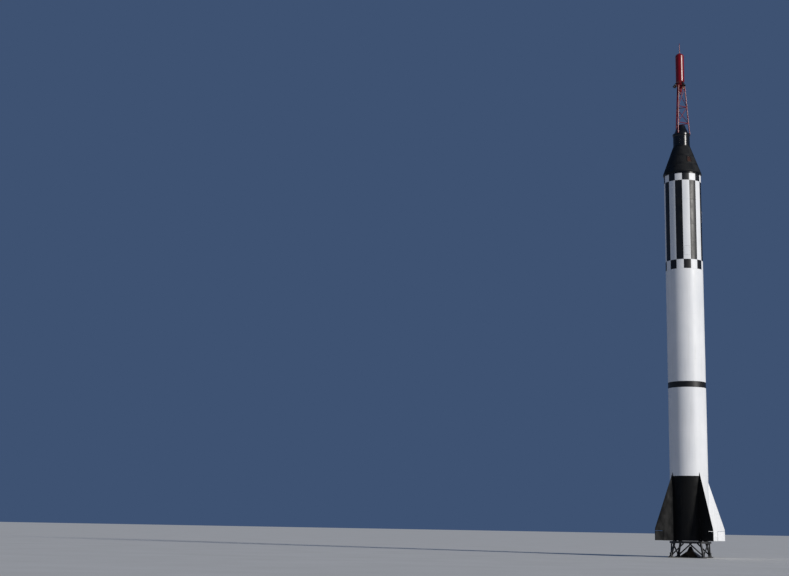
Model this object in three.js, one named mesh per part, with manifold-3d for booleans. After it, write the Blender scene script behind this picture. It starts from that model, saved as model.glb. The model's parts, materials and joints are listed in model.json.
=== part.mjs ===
// Space rocket with a crew capsule and an escape tower, standing on its low launch stand.
// Units are millimetres and +Z is up. The origin is on the ground, at the middle of the stand's foot.
// The rocket's front, the middle of its dark tail quarter, faces -Y, and its right-hand side is +X.
import * as THREE from "three";
import { mergeVertices } from "three/addons/utils/BufferGeometryUtils.js";
import Module from "manifold-3d";

const wasm = await Module();
wasm.setup();

// Driving dimensions
const GAP = 0.3; // between pieces that touch
const BODY_R = 889;
const SIDES = 48; // facets round the body

// Heights above the ground
const TAIL_BASE = 780;
const TAIL_TOP = 3780;
const BAND_BOTTOM = 7960;
const BAND_TOP = 8240;
const INSTRUMENT_BOTTOM = 13700;
const ADAPTER_BOTTOM = 17130;
const ADAPTER_TOP = 18440;
const CAPSULE_BASE = 18500;

const FIN = {
  rootTop: TAIL_BASE + 3200,
  tipR: 1900,
  tipTop: TAIL_BASE + 550,
  rootHalfThickness: 62,
  tipHalfThickness: 24,
  edgeHalfThickness: 5,
  edgeWidth: 260, // of the sloping part behind the leading edge
};
const RUDDER = { innerR: 1480, top: TAIL_BASE + 440, bottom: TAIL_BASE + 6, clearance: 14 };
const STEERING_AXIS_Z = TAIL_BASE + 220;
const SPINDLE = { radius: 24, boreRadius: 31, length: 60 };
const VANE = { innerR: 150, outerR: 350, bottom: TAIL_BASE + 70, top: TAIL_BASE + 320, halfThickness: 14 };
const VANE_SHAFT = { radius: 20, boreRadius: 27, innerR: 340, outerR: 700 };
const BRACKET = { innerR: 650, halfWidth: 70, halfHeight: 105 };

const TAIL_WALL = 60;
const BAY_TOP = 3300;
const NOZZLE = { exitR: 390, exitZ: TAIL_BASE + 350, throatR: 185, throatZ: 1900, wall: 24 };
const CHAMBER = { radius: 265, bottomZ: 2130, topZ: 2600 };

const STAND = {
  ringInnerR: 780,
  ringOuterR: 960,
  ringBottom: 660,
  ringTop: 755,
  legTopR: 870,
  footR: 1060,
  footRadius: 150,
  footHeight: 45,
};

const CAPSULE = { baseR: 945, neckR: 406, coneHeight: 1483, cylinderHeight: 610 };
// The fairing's radius at heights above the recovery cylinder
const FAIRING = [
  [372, 0],
  [322, 150],
  [276, 240],
  [236, 330],
  [196, 460],
  [180, 490],
];
const TOWER = { footR: 412, topR: 212, topZ: 23160, legRadius: 29, strutRadius: 18, braceRadius: 15 };
const TOWER_LEG_DEGREES = [-9, 111, 231];
const TOWER_LEVELS = [21200, 22050, TOWER.topZ - 60];
const JETTISON = { radius: 84, bottom: TOWER.topZ - 430 };
const MOTOR = { radius: 208, bottom: 23360, closureR: 125, shoulder: 24700, domeHeight: 150 };
const MOTOR_NOZZLE = { throatR: 175, throatRadius: 34, exitRadius: 84, length: 280, cantDegrees: 26 };
const SPIKE_TOP = 25400;
const EXHAUST_DUCT = { azimuth: 0, radius: 85, wall: 10, topR: 610, bottomR: 560, bottom: TAIL_BASE + 330 };

const FIN_NAMES = ["front_right", "back_right", "back_left", "front_left"];
const degrees = THREE.MathUtils.degToRad;
const finAzimuth = (index) => degrees(45 + 90 * index); // from the front, towards +X

// Materials
const paint = (color, roughness = 0.35, metalness = 0) =>
  new THREE.MeshStandardMaterial({ color, roughness, metalness });
const whitePaint = paint(0xe9eae8);
const blackPaint = paint(0x17181a);
const standPaint = paint(0x1d1f21, 0.5);
const redPaint = paint(0xb4201a);
const bareSteel = paint(0x8d9093, 0.4, 1);
const darkSteel = paint(0x4c4a48, 0.5, 1);
const graphite = paint(0x2b2b2d, 0.8);
const glass = paint(0x2a1c14, 0.1);

const rocket = new THREE.Group();
rocket.name = "space_rocket";

function addPart(name, geometry, material, parent = rocket) {
  const mesh = new THREE.Mesh(geometry, material);
  mesh.name = name;
  parent.add(mesh);
  return mesh;
}

// Solids: a closed geometry becomes a manifold for joins and cuts, and comes back as a geometry.
function toSolid(geometry) {
  const bare = geometry.clone();
  for (const name of Object.keys(bare.attributes)) {
    if (name !== "position") bare.deleteAttribute(name);
  }
  const merged = mergeVertices(bare, 1e-3);
  return new wasm.Manifold(
    new wasm.Mesh({
      numProp: 3,
      vertProperties: merged.attributes.position.array,
      triVerts: new Uint32Array(merged.index.array),
    }),
  );
}

function toGeometry(solid) {
  const mesh = solid.getMesh();
  const geometry = new THREE.BufferGeometry();
  geometry.setAttribute("position", new THREE.BufferAttribute(mesh.vertProperties, 3));
  geometry.setIndex(new THREE.BufferAttribute(mesh.triVerts, 1));
  return geometry;
}

const join = (geometries) =>
  toGeometry(geometries.map(toSolid).reduce((whole, piece) => whole.add(piece)));

const cut = (geometry, tools) =>
  toGeometry(tools.map(toSolid).reduce((whole, tool) => whole.subtract(tool), toSolid(geometry)));

const keepCommon = (geometry, tool) => toGeometry(toSolid(geometry).intersect(toSolid(tool)));

// Shapes
// A turned piece about the vertical axis: its profile is [radius, height] pairs, from the axis at the
// bottom to the axis at the top, or a closed loop that keeps clear of the axis.
function turned(profile, sides = SIDES) {
  const points = profile.map(([radius, height]) => new THREE.Vector2(radius, height));
  return new THREE.LatheGeometry(points, sides).rotateX(Math.PI / 2);
}

const disc = (radius, bottom, top, sides = SIDES) =>
  turned([[0, bottom], [radius, bottom], [radius, top], [0, top]], sides);

const hoop = (innerR, outerR, bottom, top, sides = SIDES) =>
  turned([[innerR, bottom], [outerR, bottom], [outerR, top], [innerR, top], [innerR, bottom]], sides);

// A box from its lowest to its highest corner
function block([x0, y0, z0], [x1, y1, z1]) {
  return new THREE.BoxGeometry(x1 - x0, y1 - y0, z1 - z0).translate(
    (x0 + x1) / 2,
    (y0 + y1) / 2,
    (z0 + z1) / 2,
  );
}

// A round bar from one point to another, which may narrow
function bar(from, to, radius, endRadius = radius, sides = 10) {
  const along = new THREE.Vector3().subVectors(to, from);
  const geometry = new THREE.CylinderGeometry(endRadius, radius, along.length(), sides);
  const turn = new THREE.Quaternion().setFromUnitVectors(
    new THREE.Vector3(0, 1, 0),
    along.clone().normalize(),
  );
  const middle = new THREE.Vector3().addVectors(from, to).multiplyScalar(0.5);
  return geometry.applyQuaternion(turn).translate(middle.x, middle.y, middle.z);
}

// A point at a radius and an azimuth, which is measured from the front (-Y) towards the right (+X)
const polar = (radius, azimuth, height) =>
  new THREE.Vector3(radius * Math.sin(azimuth), -radius * Math.cos(azimuth), height);

// A group whose +X points outwards at an azimuth
function outwards(azimuth) {
  const group = new THREE.Group();
  group.rotation.z = azimuth - Math.PI / 2;
  rocket.add(group);
  return group;
}

// A loft through convex sections that have the same number of points, in the same turning sense
function loft(sections) {
  const count = sections[0].length;
  const positions = sections.flat().flatMap((point) => [point.x, point.y, point.z]);
  const faces = [];
  for (let s = 0; s + 1 < sections.length; s++) {
    for (let i = 0; i < count; i++) {
      const a = s * count + i;
      const b = s * count + ((i + 1) % count);
      faces.push(a, b, b + count, a, b + count, a + count);
    }
  }
  const last = (sections.length - 1) * count;
  for (let i = 1; i + 1 < count; i++) {
    faces.push(0, i + 1, i);
    faces.push(last, last + i, last + i + 1);
  }
  const geometry = new THREE.BufferGeometry();
  geometry.setAttribute("position", new THREE.Float32BufferAttribute(positions, 3));
  geometry.setIndex(faces);
  return geometry;
}

// Launch stand
function makeStand() {
  const feet = [];
  for (let index = 0; index < 4; index++) {
    const foot = polar(STAND.footR, finAzimuth(index), 0);
    feet.push(disc(STAND.footRadius, 0, STAND.footHeight, 16).translate(foot.x, foot.y, 0));
  }
  const beamHalfWidth = 70;
  const beamTop = STAND.footHeight - 5;
  const beam = block([-STAND.footR, -beamHalfWidth, 0], [STAND.footR, beamHalfWidth, beamTop]);
  const plateHalf = 560;
  const plate = block([-plateHalf, -plateHalf, 0], [plateHalf, plateHalf, beamTop - 10]);
  const beams = [beam.clone().rotateZ(Math.PI / 4), beam.clone().rotateZ(-Math.PI / 4)];
  addPart("stand_base", join([...feet, ...beams, plate]), standPaint);

  const deflectorTop = 520;
  const deflectorR = 640;
  const deflector = turned(
    [[0, beamTop + GAP], [deflectorR, beamTop + GAP], [deflectorR * 0.3, 300], [60, deflectorTop], [0, deflectorTop]],
    4,
  );
  addPart("flame_deflector", deflector.rotateZ(Math.PI / 4), darkSteel);

  for (let index = 0; index < 4; index++) {
    const azimuth = finAzimuth(index);
    const foot = (offset) => polar(STAND.footR + offset, azimuth, STAND.footHeight + GAP);
    const socket = disc(85, 0, 60, 12).translate(foot(0).x, foot(0).y, foot(0).z);
    const knee = polar(STAND.footR - 6, azimuth, STAND.footHeight + 50);
    const head = polar(STAND.legTopR, azimuth, STAND.ringBottom + 20);
    const braceSpread = degrees(36);
    const braces = [-1, 1].map((side) =>
      bar(knee, polar(STAND.legTopR, azimuth + side * braceSpread, STAND.ringBottom + 20), 32),
    );
    const leg = join([socket, bar(knee, head, 52, 52, 12), ...braces]);
    const above = block([-1500, -1500, STAND.ringBottom - GAP], [1500, 1500, 1500]);
    addPart("stand_leg_" + FIN_NAMES[index], cut(leg, [above]), standPaint);
  }

  const pads = [0, 1, 2, 3].map((index) =>
    block([-90, -60, STAND.ringTop - 5], [45, 60, TAIL_BASE - GAP])
      .translate(BODY_R - 20, 0, 0)
      .rotateZ(finAzimuth(index) - Math.PI / 2),
  );
  const ring = hoop(STAND.ringInnerR, STAND.ringOuterR, STAND.ringBottom, STAND.ringTop);
  addPart("stand_top_ring", join([ring, ...pads]), standPaint);
}

// Tail unit, open below, with the engine inside
function makeTail() {
  const innerR = BODY_R - TAIL_WALL;
  addPart(
    "tail_unit",
    turned([
      [0, BAY_TOP],
      [innerR, BAY_TOP],
      [innerR, TAIL_BASE],
      [BODY_R, TAIL_BASE],
      [BODY_R, TAIL_TOP],
      [0, TAIL_TOP],
    ]),
    blackPaint,
  );

  const { exitR, exitZ, throatR, throatZ, wall } = NOZZLE;
  const bell = [0, 0.25, 0.5, 0.75, 1].map((t) => [
    exitR - (exitR - throatR) * t ** 1.6,
    exitZ + (throatZ - exitZ) * t,
  ]);
  const inside = [...bell, [CHAMBER.radius - wall, CHAMBER.bottomZ], [CHAMBER.radius - wall, CHAMBER.topZ - 60]];
  const outside = [
    [0, CHAMBER.topZ],
    [CHAMBER.radius * 0.7, CHAMBER.topZ],
    [CHAMBER.radius, CHAMBER.topZ - 90],
    [CHAMBER.radius, CHAMBER.bottomZ],
    ...bell.map(([radius, height]) => [radius + wall, height]).reverse(),
  ];
  const profile = [...outside, ...inside, [0, CHAMBER.topZ - 60]].reverse();
  addPart("engine", turned(profile, 32), darkSteel);

  addPart(
    "thrust_frame",
    turned([
      [0, CHAMBER.topZ + GAP],
      [CHAMBER.radius * 0.6, CHAMBER.topZ + GAP],
      [CHAMBER.radius * 1.9, BAY_TOP - 120],
      [CHAMBER.radius * 1.9, BAY_TOP - GAP],
      [0, BAY_TOP - GAP],
    ], 24),
    bareSteel,
  );

  // The turbine's exhaust duct comes down beside the nozzle and is open at its lower end.
  const duct = EXHAUST_DUCT;
  const line = [
    [duct.topR, BAY_TOP - GAP],
    [duct.topR, BAY_TOP - 300],
    [duct.bottomR, CHAMBER.bottomZ],
    [duct.bottomR, duct.bottom],
  ].map(([radius, height]) => polar(radius, degrees(duct.azimuth), height));
  const solidDuct = (radius, drop) => {
    const points = [...line.slice(0, 3), line[3].clone().setZ(duct.bottom - drop)];
    return join(points.slice(1).map((point, index) => bar(points[index], point, radius, radius, 16)));
  };
  const bore = bar(line[2], line[3].clone().setZ(duct.bottom - 50), duct.radius - duct.wall, duct.radius - duct.wall, 16);
  addPart("exhaust_duct", cut(solidDuct(duct.radius, 0), [bore]), darkSteel);
}

// One fin's flat solid in its own frame: +X outwards, +Z up, Y across its thickness
function finBlank() {
  const { rootTop, tipR, tipTop, rootHalfThickness, tipHalfThickness, edgeHalfThickness, edgeWidth } = FIN;
  const section = (radius, top, halfThickness, slope) => [
    new THREE.Vector3(radius, -halfThickness, TAIL_BASE),
    new THREE.Vector3(radius, -halfThickness, top - slope),
    new THREE.Vector3(radius, -edgeHalfThickness, top),
    new THREE.Vector3(radius, edgeHalfThickness, top),
    new THREE.Vector3(radius, halfThickness, top - slope),
    new THREE.Vector3(radius, halfThickness, TAIL_BASE),
  ];
  const root = section(BODY_R - 10, rootTop, rootHalfThickness, edgeWidth * 2.5);
  const tip = section(tipR, tipTop, tipHalfThickness, edgeWidth * 0.5);
  return loft([root.reverse(), tip.reverse()]);
}

function makeFins() {
  const far = 400;
  const skin = disc(BODY_R + GAP, TAIL_BASE - far, FIN.rootTop + far);
  const blank = finBlank();
  const bore = bar(
    new THREE.Vector3(RUDDER.innerR - SPINDLE.length, 0, STEERING_AXIS_Z),
    new THREE.Vector3(FIN.tipR + far, 0, STEERING_AXIS_Z),
    SPINDLE.boreRadius,
    SPINDLE.boreRadius,
    16,
  );
  const notch = block(
    [RUDDER.innerR, -far, TAIL_BASE - far],
    [FIN.tipR + far, far, RUDDER.top + RUDDER.clearance],
  );
  const rudderSpace = block(
    [RUDDER.innerR + RUDDER.clearance, -far, RUDDER.bottom],
    [FIN.tipR + far, far, RUDDER.top],
  );
  const spindle = bar(
    new THREE.Vector3(RUDDER.innerR - SPINDLE.length + 12, 0, STEERING_AXIS_Z),
    new THREE.Vector3(RUDDER.innerR + 120, 0, STEERING_AXIS_Z),
    SPINDLE.radius,
    SPINDLE.radius,
    12,
  );
  const housing = bar(
    new THREE.Vector3(RUDDER.innerR - SPINDLE.length - 60, 0, STEERING_AXIS_Z),
    new THREE.Vector3(RUDDER.innerR, 0, STEERING_AXIS_Z),
    48,
    48,
    16,
  );
  FIN_NAMES.forEach((name, index) => {
    const arm = outwards(finAzimuth(index));
    const body = skin.clone().rotateZ(Math.PI / 2 - finAzimuth(index));
    const fin = cut(join([cut(blank, [notch]), housing]), [bore, body]);
    addPart("fin_" + name, fin, blackPaint, arm);
    const rudder = join([keepCommon(blank, rudderSpace), spindle]);
    addPart("air_rudder_" + name, rudder, blackPaint, arm);
  });
}

// Jet vanes in the exhaust, each on a shaft in a bracket on the tail's inner wall
function makeVanes() {
  const wallR = BODY_R - TAIL_WALL;
  const blade = (radius, inset) =>
    [
      [0, VANE.bottom + inset],
      [VANE.halfThickness, STEERING_AXIS_Z],
      [0, VANE.top - inset],
      [-VANE.halfThickness, STEERING_AXIS_Z],
    ].map(([y, z]) => new THREE.Vector3(radius, y, z));
  FIN_NAMES.forEach((name, index) => {
    const arm = outwards(finAzimuth(index));
    const shaft = bar(
      new THREE.Vector3(VANE_SHAFT.innerR, 0, STEERING_AXIS_Z),
      new THREE.Vector3(VANE_SHAFT.outerR, 0, STEERING_AXIS_Z),
      VANE_SHAFT.radius,
      VANE_SHAFT.radius,
      12,
    );
    const vane = join([loft([blade(VANE.innerR, 30), blade(VANE.outerR, 0)]), shaft]);
    addPart("jet_vane_" + name, vane, graphite, arm);

    const seat = block(
      [BRACKET.innerR, -BRACKET.halfWidth, STEERING_AXIS_Z - BRACKET.halfHeight],
      [wallR + 20, BRACKET.halfWidth, STEERING_AXIS_Z + BRACKET.halfHeight],
    );
    const bore = bar(
      new THREE.Vector3(BRACKET.innerR - 50, 0, STEERING_AXIS_Z),
      new THREE.Vector3(VANE_SHAFT.outerR + 12, 0, STEERING_AXIS_Z),
      VANE_SHAFT.boreRadius,
      VANE_SHAFT.boreRadius,
      16,
    );
    const insideR = (wallR - GAP) * Math.cos(Math.PI / SIDES);
    const inside = disc(insideR, 0, TAIL_TOP, 96);
    addPart("vane_bracket_" + name, cut(keepCommon(seat, inside), [bore]), darkSteel, arm);
  });
}

// Body sections above the tail, each a closed barrel
function makeBody() {
  // name, bottom, top, material
  const sections = [
    ["lower_tank_section", TAIL_TOP, BAND_BOTTOM, whitePaint],
    ["joint_band", BAND_BOTTOM, BAND_TOP, blackPaint],
    ["upper_tank_section", BAND_TOP, INSTRUMENT_BOTTOM, whitePaint],
    ["instrument_section", INSTRUMENT_BOTTOM, ADAPTER_BOTTOM, whitePaint],
    ["capsule_adapter", ADAPTER_BOTTOM, ADAPTER_TOP, whitePaint],
  ];
  for (const [name, bottom, top, material] of sections) {
    addPart(name, disc(BODY_R, bottom + GAP, top), material);
  }
  addPart("clamp_ring", disc(BODY_R + 22, ADAPTER_TOP + GAP, CAPSULE_BASE), blackPaint);

  const tunnel = { halfWidth: 75, depth: 70, bottom: TAIL_TOP + 120, top: INSTRUMENT_BOTTOM - 150 };
  const section = (z, depth) => [
    new THREE.Vector3(-tunnel.halfWidth, BODY_R - 12, z),
    new THREE.Vector3(tunnel.halfWidth, BODY_R - 12, z),
    new THREE.Vector3(tunnel.halfWidth * 0.8, BODY_R + depth, z),
    new THREE.Vector3(-tunnel.halfWidth * 0.8, BODY_R + depth, z),
  ];
  const slope = 180;
  const cover = loft([
    section(tunnel.bottom, 8),
    section(tunnel.bottom + slope, tunnel.depth),
    section(tunnel.top - slope, tunnel.depth),
    section(tunnel.top, 8),
  ]);
  addPart("cable_tunnel", cut(cover, [disc(BODY_R + GAP, 0, ADAPTER_TOP)]), whitePaint);
}

// Capsule
function makeCapsule() {
  const { baseR, neckR, coneHeight, cylinderHeight } = CAPSULE;
  const neckZ = CAPSULE_BASE + coneHeight;
  const radiusAt = (height) => THREE.MathUtils.lerp(baseR, neckR, height / coneHeight);
  const shell = (offset) =>
    turned([
      [0, CAPSULE_BASE],
      [baseR + offset, CAPSULE_BASE],
      [neckR + offset, neckZ],
      [0, neckZ],
    ]);
  const rim = 20;
  const cone = turned([
    [0, CAPSULE_BASE + GAP],
    [baseR - 30, CAPSULE_BASE + GAP],
    [radiusAt(rim), CAPSULE_BASE + rim],
    [neckR, neckZ],
    [0, neckZ],
  ]);
  addPart("capsule_cone", cone, blackPaint);

  // name, azimuth in degrees, bottom and top above the base, half widths there, thickness, material
  const panels = [
    ["entry_hatch", -32, 330, 1010, 330, 230, 9, blackPaint],
    ["side_window", 42, 540, 850, 120, 82, 7, glass],
  ];
  for (const [name, azimuth, bottom, top, bottomHalf, topHalf, thickness, material] of panels) {
    const outline = [
      [bottomHalf, bottom],
      [topHalf, top],
      [-topHalf, top],
      [-bottomHalf, bottom],
    ];
    const section = (x) => outline.map(([y, z]) => new THREE.Vector3(x, y, CAPSULE_BASE + z));
    const prism = loft([section(100), section(baseR + 100)]);
    const turn = degrees(azimuth) - Math.PI / 2;
    const panel = keepCommon(cut(shell(thickness), [shell(GAP)]), prism.rotateZ(turn));
    addPart(name, panel, material);
  }

  const cylinderTop = neckZ + cylinderHeight;
  addPart("recovery_cylinder", disc(neckR, neckZ + GAP, cylinderTop), blackPaint);
  const side = FAIRING.map(([radius, height]) => [radius, cylinderTop + GAP + height]);
  const ends = [side[0], side[side.length - 1]].map(([, height]) => [0, height]);
  addPart("antenna_fairing", turned([ends[0], ...side, ends[1]]), blackPaint);
  return cylinderTop;
}

// Escape tower
function makeTower(footZ) {
  addPart("tower_foot_ring", hoop(CAPSULE.neckR + GAP, CAPSULE.neckR + 26, footZ - 70, footZ + 30), blackPaint);

  const legAzimuths = TOWER_LEG_DEGREES.map(degrees);
  const bottomZ = footZ + 30 + GAP;
  const radiusAt = (z) =>
    THREE.MathUtils.mapLinear(z, bottomZ, TOWER.topZ, TOWER.footR, TOWER.topR);
  const node = (leg, z) => polar(radiusAt(z), legAzimuths[leg % 3], z);
  const tube = (from, to, radius, sides = 6) => bar(from, to, radius, radius, sides);
  const pieces = [];
  for (let leg = 0; leg < 3; leg++) {
    pieces.push(tube(node(leg, bottomZ), node(leg, TOWER.topZ), TOWER.legRadius, 8));
    TOWER_LEVELS.forEach((level, index) => {
      pieces.push(tube(node(leg, level), node(leg + 1, level), TOWER.strutRadius));
      const above = TOWER_LEVELS[index + 1];
      if (above) pieces.push(tube(node(leg, level), node(leg + 1, above), TOWER.braceRadius));
    });
  }
  const below = block([-900, -900, bottomZ - 400], [900, 900, bottomZ]);
  const above = block([-900, -900, TOWER.topZ], [900, 900, TOWER.topZ + 400]);
  addPart("escape_tower", cut(join(pieces), [below, above]), redPaint);

  const plateR = TOWER.topR + TOWER.legRadius;
  const plateTop = TOWER.topZ + 45;
  addPart("tower_top_plate", disc(plateR, TOWER.topZ + GAP, plateTop, 24), redPaint);
  const jettisonMotor = turned([
    [0, JETTISON.bottom],
    [56, JETTISON.bottom],
    [40, JETTISON.bottom + 70],
    [JETTISON.radius, JETTISON.bottom + 110],
    [JETTISON.radius, TOWER.topZ],
    [0, TOWER.topZ],
  ], 24);
  addPart("jettison_motor", jettisonMotor, redPaint);

  const dome = [0, 24, 48, 72].map((rise) => [
    MOTOR.radius * Math.cos(degrees(rise)),
    MOTOR.shoulder + MOTOR.domeHeight * Math.sin(degrees(rise)),
  ]);
  const [crownR, crownZ] = dome[dome.length - 1];
  const motor = (offset) => turned([
    [0, plateTop + GAP],
    [MOTOR.closureR + offset, plateTop + GAP],
    [MOTOR.radius + offset, MOTOR.bottom],
    ...dome.map(([radius, height]) => [radius + offset, height]),
    [0, crownZ],
  ], 32);
  addPart("escape_motor", motor(0), redPaint);

  const { throatR, throatRadius, exitRadius, length, cantDegrees } = MOTOR_NOZZLE;
  TOWER_LEG_DEGREES.forEach((legDegrees, index) => {
    const azimuth = degrees(legDegrees + 60);
    const throat = polar(throatR, azimuth, MOTOR.bottom - 20);
    const direction = polar(Math.sin(degrees(cantDegrees)), azimuth, -Math.cos(degrees(cantDegrees)));
    const along = (distance) => throat.clone().addScaledVector(direction, distance);
    const hollow = bar(along(length * 0.45), along(length + 20), throatRadius + 8, exitRadius, 20);
    const plateSpace = disc(plateR + 1, TOWER.topZ - 10, plateTop + GAP, 24);
    const cone = bar(throat, along(length), throatRadius, exitRadius, 20);
    const nozzle = cut(cone, [hollow, motor(3 * GAP), plateSpace]);
    addPart("escape_nozzle_" + (index + 1), nozzle, darkSteel);
  });

  const spike = turned([
    [0, crownZ + GAP],
    [crownR - 4, crownZ + GAP],
    [34, crownZ + 60],
    [12, SPIKE_TOP],
    [0, SPIKE_TOP],
  ], 16);
  addPart("nose_spike", spike, redPaint);
}

makeStand();
makeTail();
makeFins();
makeVanes();
makeBody();
makeTower(makeCapsule());

export default rocket;
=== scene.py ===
import json
import math

import bmesh
import bpy
from mathutils import Matrix, Vector


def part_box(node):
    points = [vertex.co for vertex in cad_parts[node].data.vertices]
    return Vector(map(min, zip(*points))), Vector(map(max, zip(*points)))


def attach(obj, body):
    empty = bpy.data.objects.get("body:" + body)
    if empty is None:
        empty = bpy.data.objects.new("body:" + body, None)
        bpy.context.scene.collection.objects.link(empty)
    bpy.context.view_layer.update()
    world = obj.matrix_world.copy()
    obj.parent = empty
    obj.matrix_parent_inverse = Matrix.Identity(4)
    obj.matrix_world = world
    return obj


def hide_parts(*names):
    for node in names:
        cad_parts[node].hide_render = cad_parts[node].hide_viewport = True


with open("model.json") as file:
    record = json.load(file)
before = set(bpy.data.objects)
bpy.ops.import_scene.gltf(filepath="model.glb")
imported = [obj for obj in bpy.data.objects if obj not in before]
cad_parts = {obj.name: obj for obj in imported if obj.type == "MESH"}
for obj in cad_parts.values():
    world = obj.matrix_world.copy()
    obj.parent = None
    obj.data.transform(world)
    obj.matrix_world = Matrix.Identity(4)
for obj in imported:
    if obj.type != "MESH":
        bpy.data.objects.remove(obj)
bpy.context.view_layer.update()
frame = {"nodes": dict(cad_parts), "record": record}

bl_info = {
    "name": "Space rocket finish",
    "version": (1, 0, 0),
    "blender": (4, 5, 0),
    "location": "View3D > Sidebar > Rocket",
    "description": "Skins, fittings and paint of a space rocket on its launch stand",
    "category": "Object",
}

# Sizes are metres, and an azimuth is degrees from the front (-Y) towards the right (+X).
ROCKET = "rocket"
FINS = {"front_right": 45, "back_right": 135, "back_left": 225, "front_left": 315}  # azimuths
UP = Vector((0, 0, 1))
STEPS = 192  # round the body, so that each painted column is 12 steps wide
COLUMN = 22.5  # degrees
SHARP = math.radians(32)  # an edge that bends further is drawn sharp
WELD_SHARP = math.radians(15)  # on turned skins, whose welds have low slopes
GAP = 0.0003  # between pieces whose solids touch


def low(node):
    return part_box(node)[0]


def high(node):
    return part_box(node)[1]


def heights(node):
    return low(node).z, high(node).z


BODY_R = high("tail_unit").x
TAIL_BASE, TAIL_TOP = heights("tail_unit")
BAND_BOTTOM, BAND_TOP = heights("joint_band")
INSTRUMENT_BOTTOM = low("instrument_section").z
ADAPTER_BOTTOM, ADAPTER_TOP = heights("capsule_adapter")
CAPSULE_BASE, CAPSULE_NECK = high("clamp_ring").z, low("recovery_cylinder").z
LOWER_CHECK_TOP = INSTRUMENT_BOTTOM + 0.45
UPPER_CHECK_BOTTOM = ADAPTER_TOP - 0.35
CONE_BASE_R, CONE_NECK_R = 0.945, high("recovery_cylinder").x
STEERING_Z = sum(heights("jet_vane_front_left")) / 2 + 0.025  # of the shafts of rudders and vanes


def mix(start, end, share):
    return start + (end - start) * share


def spaced(first, last, pitch):
    """Values that start at the first, a pitch apart, and stay below the last."""
    return [first + pitch * step for step in range(math.ceil((last - first) / pitch))]


def spokes(count, first=0.0):
    """Azimuths spread evenly all the way round."""
    return [first + 360 * index / count for index in range(count)]


def linear(code):
    """An sRGB hex code as linear red, green, blue and alpha."""
    parts = [int(code[i : i + 2], 16) / 255 for i in (0, 2, 4)]
    return [p / 12.92 if p <= 0.04045 else ((p + 0.055) / 1.055) ** 2.4 for p in parts] + [1]


# Settings that a user would change
def colour(name, code, description):
    return bpy.props.FloatVectorProperty(
        name=name, description=description, subtype="COLOR", size=4, min=0, max=1, default=linear(code)
    )


def length(name, default, description):
    return bpy.props.FloatProperty(
        name=name, description=description, default=default,
        min=0.0002, precision=4, unit="LENGTH", subtype="DISTANCE",
    )


class RocketPaint(bpy.types.PropertyGroup):
    """Colours of the rocket's finishes"""

    white: colour("White enamel", "E9EAEC", "Body, side quarters of the tail, checks")
    black: colour("Black enamel", "050608", "Stripes, checks, joint band, front and back quarters of the tail")
    capsule_black: colour("Capsule black", "060709", "Heat-resisting paint on the capsule's cone")
    red: colour("Red enamel", "7C020E", "Escape tower and its motors")
    stand: colour("Stand enamel", "18191B", "Launch stand")


class RocketFittings(bpy.types.PropertyGroup):
    """Sizes of the small fittings"""

    rivet_radius: length("Rivet radius", 0.0075, "Radius of a rivet's head")
    rivet_height: length("Rivet height", 0.0028, "How far a rivet's head stands proud")
    rivet_pitch: length("Rivet pitch", 0.07, "From one rivet to the next")
    weld_height: length("Weld height", 0.0016, "How far a ground weld stands proud of the skin")
    bead_pitch: length("Bead pitch", 0.04, "From one bead of the capsule's shingles to the next")
    bead_height: length("Bead height", 0.006, "How far a bead stands proud of its shingle")
    edge_radius: length("Edge radius", 0.004, "Rounding of plate edges")


class RocketStage(bpy.types.PropertyGroup):
    """Floor and light"""

    floor: colour("Floor", "DCDAD5", "Pale concrete under the stand")
    surround: colour("Surround", "3E5272", "Plain light from all round")
    sun_strength: bpy.props.FloatProperty(
        name="Key light", description="Strength of the main light", default=3.0, min=0
    )
    sun_softness: bpy.props.FloatProperty(
        name="Key softness", description="Width of the main light as the rocket sees it",
        default=math.radians(7), unit="ROTATION", subtype="ANGLE",
    )


def paint_box():
    return bpy.context.scene.rocket_paint


def fittings():
    return bpy.context.scene.rocket_fittings


# Places and shapes
def polar(radius, azimuth, height=0.0):
    """A point at a radius and an azimuth."""
    angle = math.radians(azimuth)
    return Vector((radius * math.sin(angle), -radius * math.cos(angle), height))


def azimuth_of(point):
    return math.degrees(math.atan2(point.x, -point.y))


def outward(azimuth, place=(0, 0, 0)):
    """Turns local +X outwards at an azimuth and moves the origin to a place."""
    return Matrix.Translation(place) @ Matrix.Rotation(math.radians(azimuth - 90), 4, "Z")


def pointing(line, place):
    """Turns local +Z along a line and moves the origin to a place."""
    return Matrix.Translation(place) @ line.to_track_quat("Z", "Y").to_matrix().to_4x4()


def turn(bm, profile, steps=STEPS, loop=False, start=0.0, sweep=360.0):
    """Spins a profile of radius and height pairs about the rocket's axis."""
    verts = [bm.verts.new(polar(radius, start, height)) for radius, height in profile]
    edges = [bm.edges.new(pair) for pair in zip(verts, verts[1:])]
    if loop:
        edges.append(bm.edges.new((verts[-1], verts[0])))
    bmesh.ops.spin(
        bm, geom=verts + edges, cent=(0, 0, 0), axis=UP, angle=math.radians(sweep),
        steps=steps, use_merge=sweep >= 360, use_duplicate=False,
    )


def turned(profile, steps=STEPS, loop=False):
    """A new form, turned all the way round."""
    bm = bmesh.new()
    turn(bm, profile, steps, loop)
    return bm


def raised_band(radius, proud, height, half, foot):
    """The profile of a band that stands proud of a skin. Its feet reach further up and down than its face."""
    return [(radius, height - foot), (radius + proud, height - half),
            (radius + proud, height + half), (radius, height + foot)]


def tube(bm, start, end, radius, end_radius=None, sides=20):
    """A round bar with closed ends from one point to another."""
    line = end - start
    bmesh.ops.create_cone(
        bm, cap_ends=True, segments=sides, radius1=radius, radius2=end_radius or radius,
        depth=line.length, matrix=pointing(line, (start + end) / 2),
    )


def round_edges(bm, edges, width, segments=2):
    bmesh.ops.bevel(
        bm, geom=edges, offset=width, segments=segments, profile=0.5,
        affect="EDGES", clamp_overlap=True, material=-1,
    )


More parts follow.
